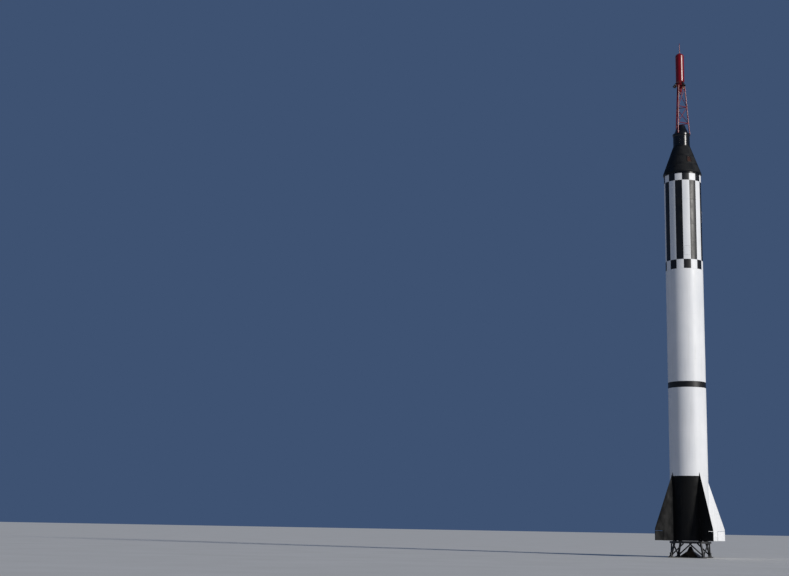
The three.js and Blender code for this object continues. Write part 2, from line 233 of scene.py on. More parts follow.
def slab(bm, matrix, size, rounding):
    """A block of a size about a place, its edges rounded."""
    made = bmesh.ops.create_cube(bm, size=1, matrix=matrix @ Matrix.Diagonal((*size, 1)))["verts"]
    round_edges(bm, list({edge for vert in made for edge in vert.link_edges}), rounding)


def stud(bm, place, direction, radius=None, height=None, sides=8):
    """A low round head that sits on a surface."""
    radius = radius or fittings().rivet_radius
    height = height or fittings().rivet_height
    tube(bm, place - direction * height * 0.4, place + direction * height, radius, radius * 0.62, sides)


def hex_bolt(bm, place, direction, radius, height):
    """A hexagon head on a round washer."""
    tube(bm, place - direction * 0.002, place + direction * height * 0.3, radius * 1.5, sides=16)
    tube(bm, place, place + direction * height, radius, sides=6)


def swept(bm, points, radius, sides):
    """A round pipe through points, closed at both ends."""
    rings = []
    for before, point, after in zip(points[:1] + points, points, points[1:] + points[-1:]):
        made = bmesh.ops.create_circle(
            bm, cap_ends=False, segments=sides, radius=radius, matrix=pointing(after - before, point)
        )["verts"]
        rings.append(list({edge for vert in made for edge in vert.link_edges}))
    for first, second in zip(rings, rings[1:]):
        bmesh.ops.bridge_loops(bm, edges=first + second)
    bmesh.ops.holes_fill(bm, edges=rings[0] + rings[-1], sides=0)


def rounded_path(corners, bend):
    """Points along straight runs with a bend of a given reach at each inner corner."""
    path, parts = [corners[0]], 6
    for before, corner, after in zip(corners, corners[1:], corners[2:]):
        start = corner + (before - corner).normalized() * bend
        end = corner + (after - corner).normalized() * bend
        for part in range(parts + 1):
            t = part / parts
            path.append(start * (1 - t) ** 2 + corner * 2 * t * (1 - t) + end * t**2)
    return path + [corners[-1]]


def copy_of(bm, node, width, segments=2):
    """A CAD node's shape, its triangles merged and its sharp edges rounded."""
    bm.from_mesh(frame["nodes"][node].data)
    bmesh.ops.remove_doubles(bm, verts=bm.verts, dist=2e-5)
    bmesh.ops.dissolve_limit(bm, angle_limit=math.radians(0.6), verts=bm.verts, edges=bm.edges)
    sharp = [edge for edge in bm.edges if edge.is_manifold and edge.calc_face_angle(0) > SHARP]
    round_edges(bm, sharp, width, segments)


def join(bm, new):
    """Adds a form that was shaped on its own to a piece."""
    spare = bpy.data.meshes.new("spare")
    new.to_mesh(spare)
    new.free()
    bm.from_mesh(spare)
    bpy.data.meshes.remove(spare)


def skin_plate(bm, azimuth, half_width, bottom, top, thickness=0.004, radius=BODY_R, corner=0.02):
    """A thin plate that follows the body's curve, with rounded corners."""
    new, steps = bmesh.new(), 6
    half_angle = math.degrees(half_width / radius)
    inner, outer = radius - 0.004, radius + thickness
    profile = [(inner, bottom), (outer, bottom), (outer, top), (inner, top)]
    turn(new, profile, steps, True, azimuth - half_angle, 2 * half_angle)
    bmesh.ops.holes_fill(new, edges=[edge for edge in new.edges if edge.is_boundary], sides=0)
    bmesh.ops.recalc_face_normals(new, faces=new.faces)

    def through_corner(edge):
        """Whether an edge runs through the plate at one of its four corners."""
        start, end = (vert.co for vert in edge.verts)
        aside = abs(start.xy.angle_signed(polar(1, azimuth).xy))
        is_level = abs(start.z - end.z) < 1e-6
        is_radial = abs(start.xy.length - end.xy.length) > thickness / 2
        return is_level and is_radial and aside > math.radians(half_angle * (1 - 1 / steps))

    round_edges(new, [edge for edge in new.edges if through_corner(edge)], corner, segments=4)
    outer_rim = [edge for edge in new.edges if edge.calc_face_angle(0) > SHARP
                 and all(vert.co.xy.length > outer - 0.001 for vert in edge.verts)]
    round_edges(new, outer_rim, thickness * 0.3, segments=1)
    join(bm, new)


def plate_screws(bm, azimuth, half_width, bottom, top, radius=BODY_R, inset=0.02):
    """Screw heads round the rim of a plate on the body."""
    pitch = 0.075
    x, z0, z1 = half_width - inset, bottom + inset, top - inset
    across, up = max(2, round(2 * x / pitch)), max(2, round((z1 - z0) / pitch))
    places = [(mix(-x, x, step / across), z) for step in range(across + 1) for z in (z0, z1)]
    places += [(side * x, mix(z0, z1, step / up)) for step in range(1, up) for side in (-1, 1)]
    for offset, height in places:
        around = azimuth + math.degrees(offset / radius)
        stud(bm, polar(radius + 0.004, around, height), polar(1, around), radius=0.006, height=0.002)


def ring_of_studs(bm, around, level, pitch=None, skip=None, **shape):
    """Studs round the body at one height."""
    count = round(2 * math.pi * around / (pitch or fittings().rivet_pitch))
    for azimuth in spokes(count, 180 / count):
        if not (skip and skip(azimuth)):
            stud(bm, polar(around, azimuth, level), polar(1, azimuth), **shape)


def column_of_studs(bm, azimuth, bottom, top, welds=()):
    """Studs up the body at one azimuth, left out beside a weld."""
    for height in spaced(bottom, top, fittings().rivet_pitch):
        if all(abs(height - weld) > 0.07 for weld in welds):
            stud(bm, polar(BODY_R, azimuth, height), polar(1, azimuth))


def shade(bm, sharp):
    """Smooth shading on curved faces only, so that a flat face stays flat beside its rounded edges."""
    area = {face: face.calc_area() for face in bm.faces}
    curved = {edge for edge in bm.edges if math.radians(0.5) < edge.calc_face_angle(0) <= sharp}
    for edge in bm.edges:
        edge.smooth = edge.calc_face_angle(0) <= sharp
    for face in bm.faces:
        face.smooth = any(
            edge in curved and area[other] > 0.2 * area[face]
            for edge in face.edges for other in edge.link_faces if other is not face
        )


def make_piece(name, bm, coat, stands_for=(), painted=None, body=ROCKET, sharp=SHARP):
    """Closes a piece's modelling: clean mesh, paint by face, and the CAD body that it moves with."""
    bmesh.ops.remove_doubles(bm, verts=bm.verts, dist=1e-5)
    bmesh.ops.dissolve_degenerate(bm, edges=bm.edges, dist=1e-6)
    bmesh.ops.recalc_face_normals(bm, faces=bm.faces)
    shade(bm, sharp)
    if painted:
        for face in bm.faces:
            face.material_index = painted(face.calc_center_median(), face.normal)
    mesh = bpy.data.meshes.new(name)
    bm.to_mesh(mesh)
    bm.free()
    slot, *finishes = coat
    for finish in finishes:
        mesh.materials.append(finish())
    obj = bpy.data.objects.new(name, mesh)
    bpy.context.scene.collection.objects.link(obj)
    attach(obj, body)
    if stands_for:
        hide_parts(*stands_for)


def dress(name, node, coat, width, **settings):
    """A piece in the CAD node's own shape, with rounded edges."""
    bm = bmesh.new()
    copy_of(bm, node, width)
    make_piece(name, bm, coat, [node], **settings)


def doors(name, places, coat, painted):
    """Screwed doors on the body, each in a thin dark seal that draws its outline: the seal is painted shade standing
    for the shaded gap round the door.
    """
    plates, seal_gap_shades, rim = bmesh.new(), bmesh.new(), 0.005
    for azimuth, half_width, bottom, top in places:
        skin_plate(plates, azimuth, half_width, bottom, top)
        plate_screws(plates, azimuth, half_width, bottom, top)
        # The seal is a thin dark strip: painted shade along the gap round each door.
        skin_plate(seal_gap_shades, azimuth, half_width + rim, bottom - rim, top + rim, thickness=0.0018, corner=0.025)
    make_piece(name, plates, coat, painted=painted)
    make_piece(name + "_seal_gap_shades", seal_gap_shades, SEAL_GAP_SHADE)


# Finishes
def add_node(tree, kind, inputs=None, **settings):
    """Adds a node with its settings, and links or sets its inputs."""
    node = tree.nodes.new(kind)
    for name, value in settings.items():
        setattr(node, name, value)
    for name, value in (inputs or {}).items():
        if isinstance(value, bpy.types.NodeSocket):
            tree.links.new(value, node.inputs[name])
        else:
            node.inputs[name].default_value = value
    return node


def new_material():
    """An empty material, and the place on the piece that its patterns read."""
    material = bpy.data.materials.new("finish")
    material.use_nodes = True
    material.node_tree.nodes.clear()
    return material, material.node_tree, add_node(material.node_tree, "ShaderNodeTexCoord").outputs["Object"]


def patches(tree, place, size, detail=4.0, stretch=(1, 1, 1), span=(0.0, 1.0), to=(0.0, 1.0)):
    """Uneven patches of a size in millimetres, stretched, and read between two levels."""
    spread = add_node(tree, "ShaderNodeMapping", {"Vector": place, "Scale": stretch})
    noise = add_node(tree, "ShaderNodeTexNoise", {
        "Vector": spread.outputs[0], "Scale": 1000 / size, "Detail": detail})
    levels = add_node(tree, "ShaderNodeMapRange", {
        "Value": noise.outputs["Fac"], "From Min": span[0], "From Max": span[1], "To Min": to[0], "To Max": to[1],
    }, clamp=True)
    return levels.outputs[0]


def kept(maker):
    """Makes a finish once, named as its function is, and gives the same one afterwards."""
    made = []

    def finish():
        if not made:
            made.append(maker())
            made[0].name = maker.__name__
        return made[0]

    return finish


def sprayed_enamel(fresh, faded, dust, dust_share, roughness, peel=0.05, waviness=0.12, specular=0.5):
    """Enamel sprayed on sheet metal: a slow change of tone, rain streaks that run down, a fine orange peel
    and the slight waves of thin sheet between its frames."""
    material, tree, place = new_material()
    fading = patches(tree, place, 1400, 3, span=(0.35, 0.68))
    tone = add_node(tree, "ShaderNodeMix", {0: fading, 6: fresh, 7: linear(faded)}, data_type="RGBA")
    streaks = patches(tree, place, 1000, 6, (8, 8, 0.5), (0.5, 0.8), (0, dust_share))
    dusty = add_node(tree, "ShaderNodeMix", {0: streaks, 6: tone.outputs[2], 7: linear(dust)}, data_type="RGBA")
    shine = patches(tree, place, 250, 5, (1, 1, 0.6), (0.3, 0.7), (roughness * 0.8, roughness * 1.3))
    waves = add_node(tree, "ShaderNodeBump", {
        "Height": patches(tree, place, 700, 2, (1, 1, 0.5)), "Strength": waviness, "Distance": 0.012})
    # Orange peel is 1 to 2 mm across, and is drawn at 8 mm to show.
    skin = add_node(tree, "ShaderNodeBump", {
        "Height": patches(tree, place, 8, 2), "Strength": peel, "Distance": 0.0008, "Normal": waves.outputs[0]})
    shader = add_node(tree, "ShaderNodeBsdfPrincipled", {
        "Base Color": dusty.outputs[2], "Roughness": shine, "IOR": 1.5, "Specular IOR Level": specular,
        "Normal": skin.outputs[0]})
    add_node(tree, "ShaderNodeOutputMaterial", {"Surface": shader.outputs[0]})
    return material


@kept
def gloss_white_enamel():
    """The body's white: a broad soft shine, and a trace of grey where the rain has run."""
    return sprayed_enamel(paint_box().white, "E0E2E5", "B9B7AE", dust_share=0.22, roughness=0.42)


@kept
def weathered_black_enamel():
    """The body's black: the same enamel, dulled by sun and dust, so that its highlight is broad and brownish."""
    return sprayed_enamel(paint_box().black, "0C0B0C", "2E2A27", dust_share=0.3, roughness=0.4,
                          peel=0.1, waviness=0.14)


@kept
def chalked_black_enamel():
    """The tail's and the fins' black, chalked by the weather: nearly matt, so that it stays black in the sun."""
    return sprayed_enamel(paint_box().black, "0A0A0B", "24211F", dust_share=0.3, roughness=0.64,
                          peel=0.1, waviness=0.14, specular=0.2)


@kept
def gloss_black_enamel():
    """Black enamel on small thick parts, which keeps a narrow highlight."""
    return sprayed_enamel(paint_box().black, "101115", "34353A", dust_share=0.16, roughness=0.24)


@kept
def capsule_black_paint():
    """Heat-resisting paint, baked on thin alloy shingles: a dry satin that scatters the light."""
    return sprayed_enamel(paint_box().capsule_black, "0A0B0D", "222426", dust_share=0.2, roughness=0.5,
                          peel=0.12, waviness=0.1, specular=0.3)


@kept
def gloss_red_enamel():
    """Red enamel on welded tube and the motor's case: deep, with a clean highlight."""
    return sprayed_enamel(paint_box().red, "6E0511", "3E0A12", dust_share=0.25, roughness=0.27, waviness=0.04)


@kept
def zinc_primer():
    """Chromate primer inside the tail: a dull yellow green."""
    return sprayed_enamel(linear("6B7048"), "5C6140", "2F2E27", dust_share=0.5, roughness=0.6,
                          peel=0.1, waviness=0.05)


@kept
def stand_enamel():
    """Brushed enamel on rolled steel: nearly black, with rust that bleeds through in small patches."""
    material, tree, place = new_material()
    tone = add_node(tree, "ShaderNodeMix", {
        0: patches(tree, place, 450, 5), 6: paint_box().stand, 7: linear("242527")}, data_type="RGBA")
    rust = patches(tree, place, 140, 9, span=(0.66, 0.74))
    rusty = add_node(tree, "ShaderNodeMix", {0: rust, 6: tone.outputs[2], 7: linear("4A2C1C")}, data_type="RGBA")
    # Mill scale under the paint is 2 to 4 mm across, and is drawn at 10 mm to show.
    scale = add_node(tree, "ShaderNodeBump", {
        "Height": patches(tree, place, 10, 4), "Strength": 0.18, "Distance": 0.001})
    blisters = add_node(tree, "ShaderNodeBump", {
        "Height": rust, "Strength": 0.3, "Distance": 0.0008, "Normal": scale.outputs[0]})
    shader = add_node(tree, "ShaderNodeBsdfPrincipled", {
        "Base Color": rusty.outputs[2], "Roughness": patches(tree, place, 110, 5, to=(0.38, 0.7)), "IOR": 1.5,
        "Normal": blisters.outputs[0]})
    add_node(tree, "ShaderNodeOutputMaterial", {"Surface": shader.outputs[0]})
    return material


def worn_steel(code, stain, stain_share, roughness, grain):
    """Steel with its grain along one direction and heat or handling stains over it."""
    material, tree, place = new_material()
    stains = patches(tree, place, 310, 6, (1, 1, 0.7), (0.4, 0.7), (0, stain_share))
    tone = add_node(tree, "ShaderNodeMix", {0: stains, 6: linear(code), 7: linear(stain)}, data_type="RGBA")
    # Tool marks are 0.5 to 1 mm apart, and are drawn at 16 mm to show.
    brushed = patches(tree, place, 16, 3, grain, to=(roughness * 0.75, roughness * 1.35))
    marks = add_node(tree, "ShaderNodeBump", {
        "Height": patches(tree, place, 16, 3, grain), "Strength": 0.06, "Distance": 0.0008})
    shader = add_node(tree, "ShaderNodeBsdfPrincipled", {
        "Base Color": tone.outputs[2], "Roughness": brushed, "Metallic": 1.0, "Normal": marks.outputs[0]})
    add_node(tree, "ShaderNodeOutputMaterial", {"Surface": shader.outputs[0]})
    return material


@kept
def heat_stained_steel():
    """Steel that exhaust has heated: brown and blue films over a dull grey."""
    return worn_steel("6F6A66", "4A3428", stain_share=0.75, roughness=0.42, grain=(1, 1, 0.15))


@kept
def bare_steel():
    """Machined steel, left bare: a cool grey with fine turning marks."""
    return worn_steel("A3A6A8", "77746C", stain_share=0.4, roughness=0.32, grain=(0.3, 0.3, 3))


@kept
def zinc_plated_steel():
    """Zinc-plated bolts: a pale grey with a weak lustre."""
    return worn_steel("B4B5B3", "8B877C", stain_share=0.5, roughness=0.4, grain=(1, 1, 1))


def plain_solid(fresh, other, mottle, relief, depth, shine, ior, coat=0.0):
    """Unpainted stuff in two tones, with a relief and a shine that vary. Mottle, relief and shine are patches."""
    material, tree, place = new_material()
    tone = add_node(tree, "ShaderNodeMix", {
        0: patches(tree, place, **mottle), 6: fresh, 7: linear(other)}, data_type="RGBA")
    surface = add_node(tree, "ShaderNodeBump", {
        "Height": patches(tree, place, **relief), "Strength": depth[0], "Distance": depth[1]})
    shader = add_node(tree, "ShaderNodeBsdfPrincipled", {
        "Base Color": tone.outputs[2], "Roughness": patches(tree, place, **shine), "IOR": ior, "Coat Weight": coat,
        "Normal": surface.outputs[0]})
    add_node(tree, "ShaderNodeOutputMaterial", {"Surface": shader.outputs[0]})
    return material


@kept
def moulded_graphite():
    """Moulded graphite: nearly black, dull, with an open fine grain."""
    # The grain is under 1 mm, and is drawn at 11 mm to show.
    grain = {"size": 11, "detail": 6, "span": (0.35, 0.7)}
    return plain_solid(linear("1C1C1E"), "343436", grain, grain, (0.2, 0.0008),
                       {"size": 33, "to": (0.55, 0.8)}, ior=1.8)


@kept
def dark_seal_gap_shade():
    """Extruded black rubber in the joints round the doors: matt, and darker than the paint beside it. Its darkness
    is painted shade, standing for the shaded gap round each door.
    """
    return plain_solid(linear("101010"), "1E1D1C", {"size": 60}, {"size": 6, "detail": 3}, (0.1, 0.0005),
                       {"size": 40, "detail": 3, "to": (0.7, 0.85)}, ior=1.52)


@kept
def window_glass():
    """Thick heat-resisting pane over a brown inner blind: dark, with a hard clean reflection."""
    return plain_solid(linear("2A1B12"), "503624", {"size": 200, "detail": 3, "span": (0.3, 0.75)},
                       {"size": 120, "detail": 2}, (0.05, 0.001),
                       {"size": 50, "detail": 3, "to": (0.04, 0.1)}, ior=1.46, coat=0.6)


@kept
def trowelled_concrete():
    """Pale trowelled concrete, with soft patches where it dried unevenly."""
    return plain_solid(bpy.context.scene.rocket_stage.floor, "D5D3CD", {"size": 2900, "span": (0.3, 0.7)},
                       {"size": 25}, (0.04, 0.001), {"size": 330, "detail": 5, "to": (0.75, 0.9)}, ior=1.5)


SLOT_FINISH = {
    "white_paint": gloss_white_enamel,
    "black_paint": gloss_black_enamel,
    "stand_paint": stand_enamel,
    "red_paint": gloss_red_enamel,
    "heat_stained_steel": heat_stained_steel,
    "bare_steel": bare_steel,
    "graphite": moulded_graphite,
    "window_glass": window_glass,
}
# A coat is a piece's material slot and the finishes that its faces choose from.
WHITE = ("white_paint", gloss_white_enamel)
STRIPED = ("white_paint", gloss_white_enamel, weathered_black_enamel)
BAND = ("black_paint", weathered_black_enamel)
TAIL = ("black_paint", gloss_white_enamel, chalked_black_enamel)
TAIL_SHELL = (*TAIL, zinc_primer)
GLOSS_BLACK = ("black_paint", gloss_black_enamel)
CAPSULE = ("black_paint", capsule_black_paint)
# The dark seal round the doors: painted shade for their gaps.
SEAL_GAP_SHADE = ("black_paint", dark_seal_gap_shade)
RED = ("red_paint", gloss_red_enamel)
STAND = ("stand_paint", stand_enamel)
STAINED_STEEL = ("heat_stained_steel", heat_stained_steel)
BARE_STEEL = ("bare_steel", bare_steel)
ZINC = ("bare_steel", zinc_plated_steel)
GRAPHITE = ("graphite", moulded_graphite)
GLASS = ("window_glass", window_glass)


# Paint pattern: 0 is white and 1 is black.
def quarter_paint(place, normal=None):
    """The front and back quarters between the fins are black, and the side quarters white."""
    azimuth = abs(azimuth_of(place))
    return 1 if azimuth < 45 or azimuth > 135 else 0


def column_paint(place, normal=None):
    """Stripes between two rows of checks that take the other colour."""
    column = math.floor(azimuth_of(place) / COLUMN + 0.5)
    in_stripes = LOWER_CHECK_TOP < place.z < UPPER_CHECK_BOTTOM
    return 1 if (column % 2 == 0) == in_stripes else 0


def rows_beside(welds):
    """The heights of the two rows of rivets beside each weld."""
    return [weld + aside for weld in welds for aside in (-0.03, 0.03)]


# Operators
class PieceOperator:
    """What every operator here shares"""

    bl_options = {"REGISTER", "UNDO"}


class ROCKET_OT_bare_nodes(PieceOperator, bpy.types.Operator):
    """Gives each solid of the frame the finish of its material slot"""

    bl_idname = "rocket.bare_nodes"
    bl_label = "Finish the solids"

    def execute(self, context):
        for part in frame["record"]["subparts"]:
            mesh = frame["nodes"][part["node"]].data
            mesh.materials.clear()
            mesh.materials.append(SLOT_FINISH[part["material_slot"]]())
        return {"FINISHED"}


class ROCKET_OT_launch_stand(PieceOperator, bpy.types.Operator):
    """Launch stand: base with feet, deflector, tubular legs, ring with hold-down pads, and their bolts"""

    bl_idname = "rocket.launch_stand"
    bl_label = "Launch stand"

    def execute(self, context):
        rounding = fittings().edge_radius
        dress("stand_base_frame", "stand_base", STAND, rounding)
        dress("deflector_plates", "flame_deflector", STAINED_STEEL, width=0.006)

        leg_low, leg_high = heights("stand_leg_front_left")
        foot_r, leg_top_r, knee_height = 1.06, 0.87, 0.095
        bolts, bolt_radius, bolt_height = bmesh.new(), 0.014, 0.016
        for quarter, azimuth in FINS.items():
            foot, knee = polar(foot_r, azimuth, leg_low), polar(foot_r, azimuth, knee_height)
            bm = bmesh.new()
            tube(bm, foot, foot + UP * 0.06, radius=0.085, end_radius=0.08, sides=32)
            tube(bm, knee, polar(leg_top_r, azimuth, leg_high), radius=0.052, sides=32)
            for side in (-1, 1):
                tube(bm, knee, polar(leg_top_r, azimuth + 36 * side, leg_high), radius=0.032, sides=24)
                plate = outward(azimuth, knee + polar(-0.02, azimuth, 0.07))
                plate @= Matrix.Translation((0, 0.05 * side, 0))
                slab(bm, plate, size=(0.12, 0.008, 0.14), rounding=0.002)
            make_piece("stand_leg_tubes_" + quarter, bm, STAND, ["stand_leg_" + quarter])
            for around in spokes(6):
                hex_bolt(bolts, foot + polar(0.118, around), UP, bolt_radius, bolt_height)

        inner, outer, ring_top = 0.78, 0.96, 0.755
        bm = turned([
            (inner, leg_high + GAP), (outer - rounding, leg_high + GAP), (outer, leg_high + rounding),
            (outer, ring_top - rounding), (outer - rounding, ring_top), (inner + rounding, ring_top),
            (inner, ring_top - rounding),
        ], steps=128, loop=True)
        for azimuth in FINS.values():
            pad = polar(0.8465, azimuth, (ring_top + TAIL_BASE) / 2 - 0.003)
            slab(bm, outward(azimuth, pad), size=(0.135, 0.12, TAIL_BASE - ring_top + 0.004), rounding=0.002)
            for side in (-1, 1):
                hex_bolt(bolts, polar(0.925, azimuth + 5 * side, ring_top), UP, radius=0.013, height=bolt_height)
        make_piece("stand_ring_and_pads", bm, STAND, ["stand_top_ring"])

        for azimuth in spokes(4):
            hex_bolt(bolts, polar(0.5, azimuth, 0.03), UP, bolt_radius, bolt_height)
        make_piece("stand_bolts", bolts, ZINC)
        return {"FINISHED"}


def beside_fin(azimuth):
    """Whether rivets there would run into a fin's root."""
    past = (azimuth - 45) % 90
    return past < 6 or past > 84


class ROCKET_OT_tail(PieceOperator, bpy.types.Operator):
    """Tail unit: riveted shell, open below, with its base ring and access doors"""

    bl_idname = "rocket.tail"
    bl_label = "Tail unit"

    def execute(self, context):
        bay_top = high("thrust_frame").z + GAP
        inner, base_ring_r, base_ring_top = BODY_R - 0.06, BODY_R + 0.006, TAIL_BASE + 0.07
        profile = [
            (0, bay_top), (inner, bay_top), (inner, TAIL_BASE + 0.004), (inner + 0.004, TAIL_BASE),
            (base_ring_r - 0.003, TAIL_BASE), (base_ring_r, TAIL_BASE + 0.003), (base_ring_r, base_ring_top),
            (BODY_R, base_ring_top + 0.008),
        ]
        welds = (1.55, 2.3, 3.05)
        for height in welds:
            profile += raised_band(BODY_R, fittings().weld_height, height, half=0.01, foot=0.014)
        profile += [(BODY_R, TAIL_TOP - 0.005), (BODY_R - 0.004, TAIL_TOP), (0, TAIL_TOP)]

        def paint(place, normal):
            inside = place.z < bay_top + 0.01 and place.xy.length < BODY_R - 0.02
            return 2 if inside else quarter_paint(place)

        make_piece("tail_shell", turned(profile), TAIL_SHELL, ["tail_unit"], paint, sharp=WELD_SHARP)

        bm = bmesh.new()
        ring_of_studs(bm, base_ring_r, TAIL_BASE + 0.035, skip=beside_fin)
        for height in (*rows_beside(welds), TAIL_TOP - 0.04):
            ring_of_studs(bm, BODY_R, height, skip=beside_fin)
        for azimuth in spokes(4, 16):
            column_of_studs(bm, azimuth, bottom=0.92, top=3.55)
        make_piece("tail_rivets", bm, TAIL, painted=quarter_paint)

        # azimuth, half width, bottom, top
        places = [(0, 0.2, 1.72, 2.16), (-20, 0.11, 2.45, 2.75), (90, 0.2, 1.72, 2.16), (180, 0.2, 1.72, 2.16),
                  (204, 0.13, 0.95, 1.25), (270, 0.2, 1.72, 2.16), (250, 0.11, 2.45, 2.75)]
        doors("tail_doors", places, TAIL, quarter_paint)
        return {"FINISHED"}


def fin_surface(radius, height):
    """Half the fin's thickness at a radius and height, or None outside its flat part."""
    root_r, tip_r = BODY_R - 0.01, 1.9
    share = (radius - root_r) / (tip_r - root_r)
    # Each pair is at the root and at the tip.
    top, slope = mix(3.98, 1.33, share), mix(0.65, 0.13, share)
    if height > top - slope - 0.02:
        return None
    return mix(0.062, 0.024, share)


def fin_sides(azimuth, radius, height, proud=0.0):
    """A place on each side of a fin with the way that it faces, or nothing outside the fin's flat part."""
    half = fin_surface(radius, height)
    if half is None:
        return []
    facings = [polar(side, azimuth + 90) for side in (-1, 1)]
    return [(polar(radius, azimuth, height) + facing * (half + proud), facing) for facing in facings]


def fin_paint(azimuth):
    """Each side of a fin has the colour of the quarter that it faces, and its narrow edges are black."""
    sideways = polar(1, azimuth + 90)
    edge_half = 0.022

    def paint(place, normal):
        facing = normal.dot(sideways)
        if abs(facing) < 0.3:
            facing = place.dot(sideways)
            if abs(facing) < edge_half:
                return 1
        return quarter_paint(polar(1, azimuth + math.copysign(20, facing)))

    return paint


class ROCKET_OT_fins(PieceOperator, bpy.types.Operator):
    """Four fins with their rivets, root angles and drive covers"""

    bl_idname = "rocket.fins"
    bl_label = "Fins"

    def execute(self, context):
        rivet = {"radius": 0.006, "height": 0.0022}
        # height of a row of rivets, and the radius that it reaches
        rows = [(TAIL_BASE + 0.03, 1.44), (1.29, 1.72), (1.75, 1.8), (2.2, 1.6), (2.65, 1.5)]
        angle_r, angle_bottom, angle_top = BODY_R + 0.03, TAIL_BASE + 0.08, 3.26
        angle_middle, angle_length = (angle_bottom + angle_top) / 2, angle_top - angle_bottom
        for quarter, azimuth in FINS.items():
            paint = fin_paint(azimuth)
            dress("fin_skin_" + quarter, "fin_" + quarter, TAIL, width=0.004, painted=paint)

            bm = bmesh.new()
            for height, last in rows:
                for radius in spaced(BODY_R + 0.1, last, 0.055):
                    for place, facing in fin_sides(azimuth, radius, height):
                        stud(bm, place, facing, **rivet)
            for height in spaced(0.84, 3.22, 0.08):
                for side, (place, facing) in zip((-1, 1), fin_sides(azimuth, angle_r, height, 0.004)):
                    stud(bm, place, facing, **rivet)
                    around = azimuth + math.degrees(0.09 / BODY_R) * side
                    stud(bm, polar(BODY_R + 0.004, around, height), polar(1, around), **rivet)
            make_piece("fin_rivets_" + quarter, bm, TAIL, painted=paint)

            bm = bmesh.new()
            for side, (place, _) in zip((-1, 1), fin_sides(azimuth, angle_r, angle_middle, 0.001)):
                around = azimuth + math.degrees(0.089 / BODY_R) * side
                on_skin = polar(BODY_R + 0.001, around, angle_middle)
                slab(bm, outward(around, on_skin), size=(0.006, 0.05, angle_length), rounding=0.0015)
                slab(bm, outward(azimuth, place), size=(0.056, 0.006, angle_length), rounding=0.0015)
            for cover, facing in fin_sides(azimuth, 1.22, STEERING_Z, -0.001):
                lid = cover + facing * 0.006
                tube(bm, cover, lid, radius=0.085, end_radius=0.08, sides=40)
                for around in spokes(10):
                    ray = polar(1, azimuth) * math.cos(math.radians(around)) + UP * math.sin(math.radians(around))
                    stud(bm, lid + ray * 0.069, facing, radius=0.005, height=0.002)
            make_piece("fin_fittings_" + quarter, bm, TAIL, painted=paint)
        return {"FINISHED"}


class ROCKET_OT_air_rudders(PieceOperator, bpy.types.Operator):
    """Four air rudders in the fins' tips, each on its spindle"""

    bl_idname = "rocket.air_rudders"
    bl_label = "Air rudders"

    def execute(self, context):
        first = 1.525  # radius of the rivets beside the hinge line
        places = [(first + 0.055 * step, height) for step in range(7) for height in (0.82, 1.0)]
        places += [(first, height) for height in (0.88, 0.94, 1.06, 1.12)]
        for quarter, azimuth in FINS.items():
            paint, body = fin_paint(azimuth), "rudder_" + quarter
            dress("rudder_skin_" + quarter, "air_rudder_" + quarter, TAIL, width=0.003, painted=paint, body=body)
            bm = bmesh.new()
            for radius, height in places:
                for place, facing in fin_sides(azimuth, radius, height):
                    stud(bm, place, facing, radius=0.005, height=0.002)
            make_piece("rudder_rivets_" + quarter, bm, TAIL, painted=paint, body=body)
        return {"FINISHED"}


class ROCKET_OT_jet_vanes(PieceOperator, bpy.types.Operator):
    """Graphite vanes in the exhaust, with their bolted brackets"""

    bl_idname = "rocket.jet_vanes"
    bl_label = "Jet vanes"

    def execute(self, context):
        for quarter, azimuth in FINS.items():
            dress("vane_blade_" + quarter, "jet_vane_" + quarter, GRAPHITE, width=0.002, body="vane_" + quarter)
            dress("vane_bearing_" + quarter, "vane_bracket_" + quarter, STAINED_STEEL, width=0.004)
            bm = bmesh.new()
            for across in (-0.05, 0.05):
                for up in (-0.08, 0.08):
                    place = outward(azimuth) @ Vector((0.65, across, STEERING_Z + up))
                    hex_bolt(bm, place, polar(-1, azimuth), radius=0.011, height=0.012)
            make_piece("vane_bolts_" + quarter, bm, ZINC)
        return {"FINISHED"}


